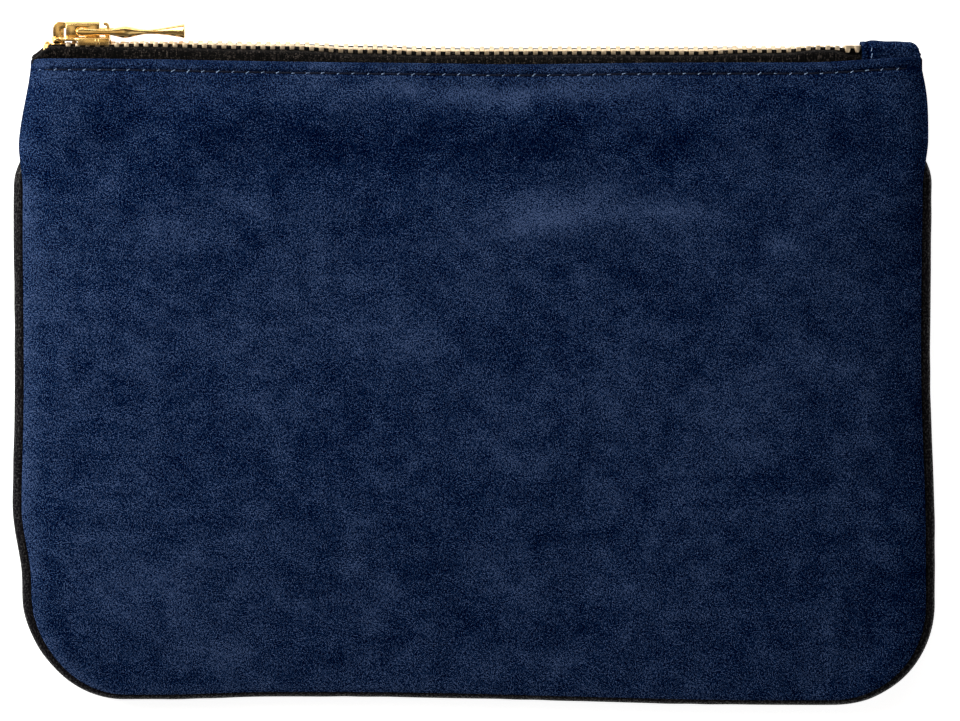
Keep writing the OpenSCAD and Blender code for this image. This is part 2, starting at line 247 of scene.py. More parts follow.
def merged(parts):
    """Joins (verts, faces, uv) parts into one."""
    verts, faces, uvs, start = [], [], [], 0
    for v, f, uv in parts:
        verts.append(v)
        faces += [tuple(i + start for i in face) for face in f]
        uvs.append(uv)
        start += len(v)
    return np.concatenate(verts), faces, np.concatenate(uvs)


# ---------------------------------------------------------------- materials


class Shader:
    """A material with a Principled BSDF, and short calls to add nodes to it."""

    def __init__(self, name, **values):
        self.material = bpy.data.materials.new(name)
        self.material.use_nodes = True
        self.tree = self.material.node_tree
        self.bsdf = self.tree.nodes["Principled BSDF"]
        for key, value in values.items():
            self.bsdf.inputs[key.replace("_", " ")].default_value = value

    def add(self, kind, links=None, values=None, **settings):
        node = self.tree.nodes.new(kind)
        for key, value in settings.items():
            setattr(node, key, value)
        for key, value in (values or {}).items():
            node.inputs[key].default_value = value
        for key, source in (links or {}).items():
            self.tree.links.new(source, node.inputs[key])
        return node

    def uv(self, scale=(1, 1, 1), turn=0.0):
        source = self.add("ShaderNodeUVMap", uv_map="UVMap").outputs["UV"]
        return self.add(
            "ShaderNodeMapping", {"Vector": source}, {"Scale": scale, "Rotation": (0, 0, turn)}
        ).outputs["Vector"]

    def position(self, scale=(1, 1, 1)):
        source = self.add("ShaderNodeTexCoord").outputs["Object"]
        return self.add("ShaderNodeMapping", {"Vector": source}, {"Scale": scale}).outputs["Vector"]

    def noise(self, vector, scale, detail=2.0, roughness=0.5, distortion=0.0):
        return self.add(
            "ShaderNodeTexNoise",
            {"Vector": vector},
            {"Scale": scale, "Detail": detail, "Roughness": roughness, "Distortion": distortion},
        ).outputs["Fac"]

    def cells(self, vector, scale):
        return self.add("ShaderNodeTexVoronoi", {"Vector": vector}, {"Scale": scale}).outputs["Distance"]

    def wave(self, vector, scale, distortion=0.0, detail_scale=1.0, direction="X"):
        return self.add(
            "ShaderNodeTexWave",
            {"Vector": vector},
            {"Scale": scale, "Distortion": distortion, "Detail Scale": detail_scale},
            bands_direction=direction,
        ).outputs["Fac"]

    def math(self, operation, *values):
        node = self.add("ShaderNodeMath", operation=operation)
        for socket, value in zip(node.inputs, values):
            if isinstance(value, (int, float)):
                socket.default_value = value
            else:
                self.tree.links.new(value, socket)
        return node.outputs[0]

    def weighted(self, *terms):
        """0.5 plus each (value - 0.5) times its weight."""
        total = 0.5
        for value, weight in terms:
            part = self.math("MULTIPLY", self.math("SUBTRACT", value, 0.5), weight)
            total = self.math("ADD", part, total)
        return total

    def ramp(self, value, stops):
        node = self.add("ShaderNodeValToRGB", {"Fac": value})
        elements = node.color_ramp.elements
        while len(elements) < len(stops):
            elements.new(0.5)
        for element, (place, colour) in zip(elements, stops):
            element.position = place
            element.color = (*colour, 1) if len(colour) == 3 else colour
        return node.outputs["Color"]

    def span(self, value, low, high):
        node = self.add("ShaderNodeMapRange", {"Value": value}, {"To Min": low, "To Max": high})
        return node.outputs["Result"]

    def to(self, socket, source):
        self.tree.links.new(source, self.bsdf.inputs[socket])

    def bump(self, height, depth_mm, strength=1.0, under=None):
        values = {"Distance": depth_mm * MM, "Strength": strength}
        node = self.add("ShaderNodeBump", {"Height": height}, values)
        if under is not None:
            self.tree.links.new(under, node.inputs["Normal"])
        return node.outputs["Normal"]


def suede_material():
    s = Shader("suede", Roughness=0.95, Specular_IOR_Level=0.0, Sheen_Weight=0.012, Sheen_Roughness=0.5)
    s.bsdf.inputs["Sheen Tint"].default_value = (0.35, 0.5, 0.9, 1)
    uv = s.uv()
    clouds = s.noise(uv, 42, 3, 0.6, 0.6)
    strokes = s.noise(s.uv((1, 1.5, 1), 0.35), 80, 3, 0.6, 0.8)
    mottle = s.noise(uv, 210, 3, 0.6)
    fleck = s.noise(s.uv((1, 0.8, 1), 0.6), 2000, 2, 0.65, 0.2)
    grain = s.noise(uv, 3700, 1, 0.5)
    fibre = s.noise(s.uv((1, 0.3, 1), 0.9), 9000, 2, 0.6, 0.3)
    broad = (clouds, 0.52), (strokes, 0.45), (mottle, 0.58)
    value = s.weighted(*broad, (fleck, 2.0), (grain, 2.8), (fibre, 1.5))
    # The nap attribute holds painted light and shade, with nap tone, added into the base colour
    brushed = s.add("ShaderNodeAttribute", attribute_name="nap").outputs["Fac"]
    s.to("Base Color", s.ramp(s.math("ADD", value, brushed), [
        (0.0, (0.0, 0.0004, 0.0075)),
        (0.3, (0.0, 0.0022, 0.0185)),
        (0.5, (0.0, 0.0080, 0.0365)),
        (0.72, (0.0085, 0.0255, 0.0760)),
        (1.0, (0.0600, 0.0930, 0.1950)),
    ]))
    nap = s.bump(s.weighted((fleck, 1.0), (grain, 0.6)), 0.2, 0.8)
    s.to("Normal", s.bump(mottle, 0.25, 0.35, nap))
    return s.material


def leather_material():
    s = Shader("piping_leather")
    uv = s.uv()
    grain = s.cells(uv, 1700)
    creases = s.noise(s.uv((0.35, 1, 1)), 900, 3, 0.6)
    worn = s.noise(uv, 120, 2)
    polish = s.noise(uv, 1900, 1)
    s.to("Base Color", s.ramp(s.weighted((worn, 0.8), (grain, 0.3)), [
        (0.25, (0.0007, 0.0006, 0.0011)),
        (0.75, (0.0045, 0.0036, 0.0052)),
    ]))
    glints = [(0.45, (0.03, 0.03, 0.03)), (0.95, (0.4, 0.4, 0.4))]
    s.to("Specular IOR Level", s.ramp(s.weighted((polish, 2.4), (grain, -0.5)), glints))
    s.to("Roughness", s.span(worn, 0.38, 0.55))
    s.to("Normal", s.bump(grain, 0.1, 0.9, s.bump(creases, 0.12, 0.6)))
    return s.material


def gold_material(name, dark, light, rough, wear=0.04):
    s = Shader(name, Metallic=1.0)
    place = s.position()
    tarnish = s.noise(place, 500, 3, 0.6)
    s.to("Base Color", s.ramp(tarnish, [(0.3, dark), (0.7, light)]))
    s.to("Roughness", s.span(s.noise(place, 1400, 2), rough, rough + 0.1))
    s.to("Normal", s.bump(s.noise(place, 420, 3), wear, 0.3))
    return s.material


def steel_material():
    s = Shader("spring_steel", Metallic=1.0)
    brushed = s.noise(s.position((1, 8, 8)), 900, 2)
    s.to("Base Color", s.ramp(brushed, [(0.3, (0.42, 0.4, 0.36)), (0.7, (0.6, 0.58, 0.52))]))
    s.to("Roughness", s.span(brushed, 0.25, 0.4))
    return s.material


def tape_material():
    s = Shader("zip_tape", Specular_IOR_Level=0.06, Sheen_Weight=0.01, Sheen_Roughness=0.4)
    uv = s.uv()
    ribs = s.noise(s.uv((1, 0.3, 1)), 1500, 2, 0.6)
    weft = s.wave(uv, 900, 2.0, 3.0, "Y")
    fuzz = s.noise(uv, 2600, 2)
    value = s.weighted((ribs, 1.5), (weft, 0.12), (fuzz, 2.2))
    s.to("Base Color", s.ramp(value, [
        (0.4, (0.0003, 0.0003, 0.0004)),
        (0.65, (0.0032, 0.0026, 0.0025)),
        (0.95, (0.055, 0.045, 0.039)),
    ]))
    s.to("Roughness", s.span(fuzz, 0.6, 0.85))
    s.to("Normal", s.bump(value, 0.08, 0.8))
    return s.material


def lining_material():
    s = Shader("lining_twill", Specular_IOR_Level=0.25, Sheen_Weight=0.2, Sheen_Roughness=0.35)
    twill = s.wave(s.uv((1, 1, 1), 0.8), 330, 0.6, 2.0, "X")
    cross = s.wave(s.uv((1, 1, 1), -0.8), 620, 0.8, 2.0, "X")
    slub = s.noise(s.uv((0.3, 1, 1)), 260, 2)
    value = s.weighted((twill, 0.55), (cross, 0.25), (slub, 0.5))
    s.to("Base Color", s.ramp(value, [(0.15, (0.006, 0.0085, 0.022)), (0.85, (0.028, 0.036, 0.078))]))
    s.to("Roughness", s.span(slub, 0.5, 0.72))
    s.to("Normal", s.bump(value, 0.08, 0.7))
    return s.material


def thread_material(name, dark, light, shine):
    s = Shader(name, Specular_IOR_Level=shine, Sheen_Weight=0.02, Sheen_Roughness=0.3)
    ply = s.wave(s.uv((1, 1, 1), 0.7), 900, 0.3, 1.0, "X")
    fibre = s.noise(s.uv(), 2600, 2)
    s.to("Base Color", s.ramp(s.weighted((ply, 0.5), (fibre, 0.6)), [(0.2, dark), (0.8, light)]))
    s.to("Roughness", s.span(fibre, 0.4, 0.6))
    s.to("Normal", s.bump(ply, 0.05, 0.7))
    return s.material


def cotton_material():
    s = Shader("piping_filler", Roughness=0.9)
    twist = s.wave(s.uv((1, 1, 1), 0.6), 300, 0.5, 1.0, "X")
    s.to("Base Color", s.ramp(twist, [(0.2, (0.42, 0.39, 0.33)), (0.8, (0.68, 0.65, 0.58))]))
    s.to("Normal", s.bump(twist, 0.2, 0.8))
    return s.material


def floor_material():
    s = Shader("floor", Roughness=0.85, Specular_IOR_Level=0.1, Emission_Strength=0.8)
    s.bsdf.inputs["Emission Color"].default_value = (1, 1, 1, 1)
    shade = s.noise(s.position(), 60, 3)
    s.to("Base Color", s.ramp(shade, [(0.2, (0.89, 0.89, 0.895)), (0.8, (0.92, 0.92, 0.92))]))
    return s.material


SUEDE = suede_material()
LEATHER = leather_material()
GOLD = gold_material("zip_metal", (0.80, 0.50, 0.17), (0.96, 0.68, 0.30), 0.15, 0.12)
GOLD_TEETH = gold_material("zip_teeth_metal", (0.68, 0.53, 0.35), (0.88, 0.73, 0.53), 0.38, 0.06)
STEEL = steel_material()
TAPE = tape_material()
LINING = lining_material()
THREAD = thread_material("thread", (0.0006, 0.0014, 0.007), (0.004, 0.008, 0.028), 0.15)
# Pale blue thread whose colour paints the highlights glinting at the stitch holes
PAINTED_GLINT_THREAD = thread_material("painted_glint_thread", (0.10, 0.17, 0.34), (0.34, 0.46, 0.68), 0.5)
COTTON = cotton_material()


# ---------------------------------------------------------------- the pouch's soft form


def edge_half(y):
    """Half width of the suede's edge on the straight part of the sides."""
    piped = SEAM_X - EDGE_IN
    plain = (PLAIN_X - piped) * ramp(y, PIPE_TOP - 3, 57)
    return piped + plain - (PLAIN_X - MOUTH_X) * ramp(y, 56, HEM_Y + 2)


EDGE_Y = SEAM_Y - EDGE_IN


def corner_cut(y, r, low):
    """How far a bottom corner of radius r on the line y = low comes in at y."""
    up = np.clip(low + r - y, 0, r)
    return r - np.sqrt(np.maximum(0, r * r - up * up))


def edge_at(y):
    """Half width of the suede at y, with its round corners."""
    return edge_half(y) - corner_cut(y, SEAM_R, EDGE_Y)


def warp(points):
    """The pouch's small irregularities: a pulled-in corner, a wandering bottom and a sagging mouth."""
    p = np.array(points, float)
    x, y = p[..., 0].copy(), p[..., 1].copy()
    pulled = (2.1 * ramp(-y, 38, 57) + 1.3 * ramp(-y, 60, 80)) * ramp(-x, 40, 119)
    bulge = 0.6 * bell(y, -38, 18) + 0.3 * bell(y, 36, 25) - 0.65 * ramp(y, 50, 76)
    left_wave = -bulge * ramp(-x, 60, 119)
    right_wave = ramp(x, 60, 119) * (0.75 * ramp(-y, 5, 45) - 0.5 * bell(y, 5, 34) + 1.1 * bell(y, 70, 9))
    low = 1.0 - 2.15 * ramp(x, -35, 80) - 0.7 * ramp(-x, 52, 84)
    high = hem_line(x) - HEM_Y
    p[..., 0] += pulled + left_wave + right_wave
    p[..., 1] += low * ramp(-y, 30, 87) + high * ramp(y, 15, HEM_Y)
    return p


def hem_line(x):
    """Height of the hem's edge along the mouth."""
    dip = 0.45 * bell(x, 12, 26)
    return HEM_Y - 0.95 - dip + 1.15 * ramp(-x, 20, 118) + 1.55 * ramp(x, 84, 118)


def fullness(a, q):
    """How far a panel has risen, from 0 at its edges to 1. a runs across it from -1 to 1, q down it."""
    n = mix(16, 4, ramp(q, 0, 0.35))
    return np.sqrt(np.maximum(0, (1 - np.abs(a) ** n) * (1 - np.clip(q, 0, 1) ** 5)))


def relief(x, y):
    """Slow swells and folds in the suede, up to about a millimetre."""
    waves = [(0.021, 0.034, 0.4), (0.043, -0.018, 1.9), (-0.031, 0.052, 3.1)]
    waves += [(0.074, 0.061, 5.0), (0.055, -0.083, 0.9)]
    total = sum(np.sin(kx * x + ky * y + phase) / (1 + k * 0.6) for k, (kx, ky, phase) in enumerate(waves))
    fold = 0.55 * bell(y, 66.5, 5) - 0.5 * bell(y, 51, 7)
    swell = 0.4 * np.exp(-(((x - 30) / 18) ** 2) - ((y - 35) / 5) ** 2)
    return 0.2 * total + fold + swell


def front_outer(x, y, half, belt):
    """Z of the front panel's face. half is its half width at y, belt how far its edge stands out."""
    q = (HEM_Y - y) / (HEM_Y - EDGE_Y)
    a = np.clip(x / half, -1, 1)
    crown = mix(MOUTH_T, FRONT_RISE, 1 - (1 - 2 * np.minimum(q, 0.5 + q / 2)) ** 2)
    f = fullness(a, q)
    swells = relief(x, y) * ramp(f, 0.3, 0.9) * ramp(HEM_Y - y, 4, 25)
    return SEAM_Z + belt + (crown - belt + swells) * f


def back_outer(x, y, half, belt):
    q = (HEM_Y - y) / (HEM_Y - EDGE_Y)
    a = np.clip(x / half, -1, 1)
    depth = mix(MOUTH_T - 0.2, SEAM_Z, ramp(q, 0, 0.12))
    f = np.minimum(1, 1.08 * (1 - (1 - fullness(a, q)) ** 2))
    return SEAM_Z - belt - (depth - belt) * f


def outer_face(front, x, y, half, belt):
    return (front_outer if front else back_outer)(x, y, half, belt)


# Painted light and shade with brushed-nap tone: a painted shaded band and painted fold highlights below the
# hem, a painted highlight on a swell, then smaller lighter and darker nap patches. Each is middle (x, y),
# reach (x, y) and how much lighter
PAINTED_LIGHT_AND_NAP_MARKS = (
    ((-10, 57.5), (95, 9), -0.19),
    ((6, 70.5), (36, 3), 0.3),
    ((-30, 72), (60, 2.6), 0.07),
    ((20, 38.5), (14, 6), 0.42),
    ((50, 40), (17, 3), 0.2),
    ((78, 28), (4.5, 3.5), 0.13),
    ((-84, 5), (9, 6), 0.1),
    ((-80, 32), (12, 4), 0.08),
    ((-2, 18), (9, 5), 0.1),
    ((-17, 3), (8, 6), 0.1),
    ((10, -26), (10, 5), 0.08),
    ((-92, -59), (14, 9), 0.06),
    ((-72, -77), (20, 4), 0.1),
    ((27, -78), (8, 4), 0.12),
    ((-2, -72), (8, 6), -0.08),
    ((85, -55), (30, 24), -0.04),
)


def nap(x, y):
    """How much lighter the suede is painted: the patches listed above, then a painted lit rim along the left
    edge, painted shade along the right edge, a painted highlight along the bottom edge on the left, a painted
    shaded furrow at the stitch line and a painted highlight on the hem's roll.
    """
    total = 0 * x
    for (cx, cy), (rx, ry), strength in PAINTED_LIGHT_AND_NAP_MARKS:
        bend = 1.1 * np.sin(x * 0.11 + cy) + 0.6 * np.sin(x * 0.29 - cy)
        total = total + strength * np.exp(-(((x - cx) / rx) ** 2) - (((y + bend - cy) / ry) ** 2))
    half = edge_at(y)
    down = HEM_Y - y
    # Painted light on the left rim and painted shade on the right edge
    total = total + 0.2 * bell(half + x, 0, 4.0) * ramp(down, 12, 40) - 0.15 * bell(half - x, 0, 8)
    # Painted highlight along the bottom edge, fading out from x 20 to 70
    total = total + 0.1 * bell(y, EDGE_Y, 3) * (1 - ramp(x, 20, 70))
    # Painted shade in the stitch furrow and a painted highlight on the hem's roll
    return total - 0.16 * bell(down, STITCH_DOWN, 0.5) + 0.05 * bell(down, 1.5, 0.6)


def add_painted_light_and_nap(obj, values):
    """Writes how much lighter the suede is at each vertex, painted light and shade with nap tone, as the nap
    attribute.
    """
    layer = obj.data.attributes.new("nap", "FLOAT", "POINT")
    layer.data.foreach_set("value", np.ravel(values).astype(np.float32))


def belt_height(y):
    """How far from the seam's plane the suede's edge stands furthest out."""
    return mix(2.6, 1.3, ramp(y, PIPE_TOP - 1, 60))


def split_of(front):
    """Where a panel or its lining is made in two, as x."""
    return SPLIT if front else 0.0


def spaced(n, power):
    """n values from 0 to 1, closer together towards 1."""
    t = np.linspace(0, 1, n)
    return 1 - (1 - t) ** power


def panel_rows(fine):
    """Heights of a panel's rows: round the corner, up the side and close together at the hem."""
    arc = 90 * np.arange(12) / 12
    low = EDGE_Y + SEAM_R * (1 - np.cos(np.radians(arc)))
    step = 1.3 if fine else 2.6
    mid = np.arange(EDGE_Y + SEAM_R, HEM_Y - 7, step)
    top = HEM_Y - (6.8 - np.arange(0, 6.1, 0.3 if fine else 0.6))
    return np.concatenate([low, mid, top])


def panel_half_grid(front, side):
    """Points of a panel's outer face from where it is split to one side, rows first. side is -1 or 1."""
    y = panel_rows(front)[:, None]
    half = edge_at(y)
    split = split_of(front)
    reach = abs(side * MOUTH_X - split)
    k = spaced(int(reach / (0.75 if front else 1.6)), 1.35)[None]
    x = split + (side * half - split) * k
    belt = belt_height(y) + 0 * x
    y = y + 0 * x
    z = outer_face(front, x, y, half, belt) + swell(front, x, y, half)
    return np.stack([x, y, np.maximum(z, 0.02)], -1)


SETTLE_FRAMES = 24


def averaged(values, axis, reach):
    """Each value's mean with its neighbours up to reach places off along an axis."""
    first, last = (np.repeat(values.take([k], axis), reach, axis) for k in (0, -1))
    total = np.insert(np.cumsum(np.concatenate([first, values, last], axis), axis), 0, 0, axis)
    n = 2 * reach + 1
    size = total.shape[axis]
    return (total.take(range(n, size), axis) - total.take(range(size - n), axis)) / n


def simulated_swell(front):
    """Lets the sewn panel settle as cloth, a little fuller than its seam, and returns how far it moved."""
    y = np.linspace(EDGE_Y + 0.5, HEM_Y - 1.0, 56)[:, None]
    a = np.linspace(-1, 1, 84)[None] + 0 * y
    half = edge_at(y)
    x = a * half
    z = outer_face(front, x, y + 0 * x, half, belt_height(y) + 0 * x)
    start = np.stack([x, y + 0 * x, z], -1)
    rows, cols = z.shape
    obj = make("settling_panel", start.reshape(-1, 3), grid_faces(rows, cols, flipped=not front), SUEDE)
    down = HEM_Y - y + 0 * x
    held = (np.abs(a) > 0.985) | (y < EDGE_Y + 2.5) | (down < 8)
    pins = obj.vertex_groups.new(name="sewn")
    pins.add([int(k) for k in np.flatnonzero(held)], 1.0, "REPLACE")
    cloth = obj.modifiers.new("cloth", "CLOTH")
    settings = cloth.settings
    settings.quality = 6
    settings.mass = 0.25
    settings.tension_stiffness = settings.compression_stiffness = 25
    settings.shear_stiffness = 12
    settings.bending_stiffness = 6
    settings.shrink_min = -0.004
    settings.use_pressure = True
    settings.uniform_pressure_force = 0.25
    settings.vertex_group_mass = "sewn"
    settings.effector_weights.gravity = 0
    cloth.collision_settings.use_collision = False
    cloth.point_cache.frame_end = SETTLE_FRAMES
    scene = bpy.context.scene
    for frame_number in range(1, SETTLE_FRAMES + 1):
        scene.frame_set(frame_number)
    settled = obj.evaluated_get(bpy.context.evaluated_depsgraph_get())
    points = np.empty(rows * cols * 3, np.float32)
    settled.to_mesh().vertices.foreach_get("co", points)
    settled.to_mesh_clear()
    mesh = obj.data
    bpy.data.objects.remove(obj)
    bpy.data.meshes.remove(mesh)
    scene.frame_set(1)
    move = (points.reshape(rows, cols, 3)[..., 2] / MM - z).astype(float)
    broad = averaged(averaged(averaged(averaged(move, 0, 9), 0, 9), 1, 6), 1, 6)
    return 0.12 * np.clip(broad, -3, 3) + 0.38 * (move - broad), y[:, 0]


SWELL = {}
SWELL_MOST = 0.8


def swell(front, x, y, half):
    """How far the settled panel has moved at each point, kept under SWELL_MOST."""
    if front not in SWELL:
        return 0
    move, rows = SWELL[front]
    r = np.clip((np.asarray(y) - rows[0]) / (rows[-1] - rows[0]) * (len(rows) - 1), 0, len(rows) - 1.001)
    c = np.clip((np.clip(x / half, -1, 1) + 1) / 2 * (move.shape[1] - 1), 0, move.shape[1] - 1.001)
    r, c = np.broadcast_arrays(r, c)
    i, j = r.astype(int), c.astype(int)
    u, v = r - i, c - j
    low = move[i, j] * (1 - v) + move[i, j + 1] * v
    high = move[i + 1, j] * (1 - v) + move[i + 1, j + 1] * v
    value = low * (1 - u) + high * u
    return SWELL_MOST * np.tanh(value / SWELL_MOST)


def stitch_dip(x, y):
    """How deep the seam pulls the suede down along the hem."""
    down = HEM_Y - y
    hole = 0.5 + 0.5 * np.cos(2 * np.pi * x / STITCH_PITCH)
    puff = 0.26 * bell(down, 1.3, 0.75) + 0.16 * bell(down, 4.6, 1.0)
    return bell(down, STITCH_DOWN, 0.42) * (0.62 + 0.2 * hole**3) - puff * (1 - 0.5 * hole)


class Sheet:
    """A panel's mesh: a grid of points, then rings joined on one by one."""

    def __init__(self, grid):
        self.verts = [warp(grid).reshape(-1, 3)]
        self.uv = [grid[..., :2].reshape(-1, 2)]
        self.faces = grid_faces(*grid.shape[:2])

    def grow(self, last, ring, uv):
        """Adds a ring of points, joins it to the points numbered last, and returns its own numbers."""
        first = sum(map(len, self.verts))
        ids = range(first, first + len(ring))
        self.verts.append(warp(ring))
        self.uv.append(uv)
        self.faces += [(last[k], last[k + 1], ids[k + 1], ids[k]) for k in range(len(ring) - 1)]
        return ids


def tuck_edge(sheet, grid, side, sign):
    """Rings inwards and down from the edge, along the side and the bottom."""
    rows, cols = grid.shape[:2]
    loop = [(r, cols - 1) for r in range(rows - 1, -1, -1)] + [(0, c) for c in range(cols - 2, -1, -1)]
    edge = np.array([grid[r, c] for r, c in loop])
    turn = np.gradient(edge[:, :2], axis=0)
    turn /= np.linalg.norm(turn, axis=1)[:, None]
    inward = np.stack([turn[:, 1], -turn[:, 0]], 1) * side
    plain = ramp(edge[:, 1], PIPE_TOP - 2, 59)
    hang = mix(-EDGE_IN, EDGE_IN, np.abs(inward[:, 1]) ** 2)
    height = belt_height(edge[:, 1])
    piped_rings = [(0.7 * hang + 0.7, 2.15), (hang + 1.45, 1.6), (hang + 2.05, 0.75), (hang + 2.15, 0.3)]
    plain_rings = [(0.03, 0.95), (0.12, 0.55), (0.35, 0.2), (0.8, 0.06)]
    last = [r * cols + c for r, c in loop]
    run = 0
    for (deep, rise), (plain_deep, plain_rise) in zip(piped_rings, plain_rings):
        inset = mix(deep, plain_deep, plain)
        z = np.minimum(mix(rise, plain_rise, plain), height)
        ring = np.column_stack([edge[:, :2] + inward * inset[:, None], SEAM_Z + sign * z])
        run = run + 0.8
        last = sheet.grow(last, ring, edge[:, :2] - inward * run)


def turn_hem(sheet, grid, sign):
    """Rings over the top edge and down inside."""
    rows, cols = grid.shape[:2]
    x, y, z = grid[-1].T
    inwards = np.stack([sign * np.gradient(z, x), -sign * np.ones(cols)], 1)
    inwards /= np.linalg.norm(inwards, axis=1)[:, None]
    taper = mix(0.45, 1.0, ramp(MOUTH_X - np.abs(x), 0, 4))
    below = HEM_Y - y[0]
    last = range((rows - 1) * cols, rows * cols)
    bend = np.radians([30, 60, 90, 120, 150, 180])
    steps = [(SUEDE_T * math.sin(a), SUEDE_T * (1 - math.cos(a))) for a in bend]
    steps += [(-down, 2 * SUEDE_T) for down in (1.5, 3, 4.5, 6, 8)]
    for rise, deep in steps:
        in_x, in_z = inwards[:, 0] * deep * taper, inwards[:, 1] * deep * taper
        ring = np.column_stack([x + in_x, y + (below - SUEDE_T + rise), z + in_z])
        last = sheet.grow(last, ring, np.column_stack([x, np.full(cols, HEM_Y + deep + abs(rise))]))


def build_panel(name, front, side):
    """Half of a suede panel: its outer face, its edges tucked into the seam, and its turned-in hem."""
    grid = panel_half_grid(front, side)
    sign = 1 if front else -1
    grid[..., 2] -= sign * stitch_dip(grid[..., 0], grid[..., 1]) * ramp(MOUTH_X - np.abs(grid[..., 0]), 2, 6)
    sheet = Sheet(grid)
    tuck_edge(sheet, grid, side, sign)
    turn_hem(sheet, grid, sign)
    faces = [f[::-1] for f in sheet.faces] if (side > 0) != front else sheet.faces
    uv = np.concatenate(sheet.uv)
    obj = make(name, np.concatenate(sheet.verts), faces, SUEDE, uv)
    if front:
        add_painted_light_and_nap(obj, nap(uv[:, 0], uv[:, 1]))
    return solidify(obj, SUEDE_T)


def front_piece(obj, node):
    """A front piece keeps its shape where it is built, and the CAD part it stands for is hidden."""
    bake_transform(obj)
    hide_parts(node)


def riding(obj, body, node):
    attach(obj, body)
    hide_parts(node)


def root_piece(obj, node):
    riding(obj, "root", node)


SIDE_NAMES = {-1: "left", 1: "right"}


def build_suede():
    for side, name in SIDE_NAMES.items():
        front_piece(build_panel(f"front_suede_{name}", True, side), "front_panel")
        root_piece(build_panel(f"back_suede_{name}", False, side), "back_panel")


# ---------------------------------------------------------------- lining


def lining_shell(name, front, side):
    inset = 8.5
    split = split_of(front)
    y = np.concatenate([
        EDGE_Y + inset + (SEAM_R - inset) * (1 - np.cos(np.radians(np.linspace(0, 82, 7)))),
        np.linspace(EDGE_Y + SEAM_R, HEM_Y - 3.6, 70),
    ])[:, None]
    half = edge_half(y) - inset - corner_cut(y, SEAM_R - inset, EDGE_Y + inset)
    x = split + (side * half - split) * spaced(70, 1.3)[None]
    full = edge_at(y)
    f = fullness(np.clip(x / half, -1, 1), (HEM_Y - y) / (HEM_Y - EDGE_Y - inset))
    off = mix(1.6, 2.9, ramp(y, HEM_Y - 20, HEM_Y - 10))
    sign = 1 if front else -1
    surface = sign * (outer_face(front, x, y + 0 * x, full, 0.3 + 0 * x) - SEAM_Z)
    z = SEAM_Z + sign * (0.12 + np.maximum(surface - off, 0) * np.minimum(1, f * 1.25))
    ripple = 0.16 * np.sin(x / 5.5 + 2 * np.sin(y / 23)) * np.sin(y / 19 + 1) * ramp(f, 0.2, 0.7)
    z = z - ripple if front else z + np.abs(ripple)
    points = np.stack([x, y + 0 * x, z], -1)
    faces = grid_faces(*x.shape, flipped=(side > 0) != front)
    obj = make(name, warp(points).reshape(-1, 3), faces, LINING, points[..., :2].reshape(-1, 2))
    return solidify(obj, 0.3)


def build_lining():
    for side, name in SIDE_NAMES.items():
        front_piece(lining_shell(f"front_lining_{name}", True, side), "front_lining")
        root_piece(lining_shell(f"back_lining_{name}", False, side), "back_lining")


# ---------------------------------------------------------------- piping and seam


def seam_path(inset=0.0, top=PIPE_TOP, step=1.5):
    """Points of the seam from the left end round the bottom to the right end, as x and y."""
    r = SEAM_R - inset
    cx, cy = SEAM_X - SEAM_R, SEAM_Y + SEAM_R
    left = np.arange(top, cy, -step)
    side = np.column_stack([np.full(len(left), -cx - r), left])
    angle = np.radians(np.linspace(0, 90, int(r * 1.6 / step) + 2))
    corner = np.column_stack([-cx - r * np.cos(angle), cy - r * np.sin(angle)])
    across = np.linspace(-cx, cx, int(2 * cx / step))[1:-1]
    low = np.column_stack([across, np.full(len(across), cy - r)])
    half = np.concatenate([side, corner])
    mirrored = half[::-1] * np.array([-1, 1])
    return np.concatenate([half, low, mirrored])


def tucked(path, run):
    """Bends both ends of a path into the plain seam above the piping."""
    y = path[:, 1]
    shift = 1.9 * ramp(y, PIPE_TOP - 2, run)
    path = path.copy()
    path[:, 0] -= np.sign(path[:, 0]) * shift
    return path


def build_piping():
    top = PIPE_TOP + 9
    path = tucked(seam_path(0, top, 1.0), top)
    points = np.column_stack([path, np.full(len(path), SEAM_Z)])
    taper = mix(1.0, 0.45, ramp(path[:, 1], PIPE_TOP, top))
    run = np.r_[0, np.cumsum(np.linalg.norm(np.diff(path, axis=0), axis=1))]
    lumps = 0.035 * np.sin(run / 2.9 + np.sin(run / 7.0) * 2) + 0.03 * np.sin(run / 9.0)
    cover = tube(warp(points), (TUBE_R + lumps) * taper, 20)
    verts, faces, uv = merged([cover, seam_flange()])
    root_piece(make("piping", verts, faces, LEATHER, uv, 60), "piping_cover")


def build_piping_cord():
    path = seam_path(0, PIPE_TOP, 2.0)
    points = warp(np.column_stack([path, np.full(len(path), SEAM_Z)]))
    verts, faces, uv = tube(points, CORD_R)
    root_piece(make("piping_filler_cord", verts, faces, COTTON, uv, 60), "piping_cord")


def seam_flange():
    """The two layers of the piping's leather that run inwards from its tube, as one thin strip."""
    paths = [seam_path(inset, PIPE_TOP, 2.0) for inset in (1.9, 7.5)]
    n = min(map(len, paths))
    outer, inner = (path[np.linspace(0, len(path) - 1, n).round().astype(int)] for path in paths)
    rings = []
    for path, z in ((outer, 0.22), (inner, 0.22), (inner, -0.22), (outer, -0.22)):
        rings.append(warp(np.column_stack([path, np.full(n, SEAM_Z + z)])))
    points = np.stack(rings, 1)
    faces = grid_faces(n, 4, wrap=True) + [(0, 1, 2, 3), tuple((n - 1) * 4 + k for k in (3, 2, 1, 0))]
    uv = np.stack([np.repeat(np.arange(n) * 2.0, 4), np.tile([0, 5.6, 6, 11.6], n)], 1)
    return points.reshape(-1, 3), faces, uv


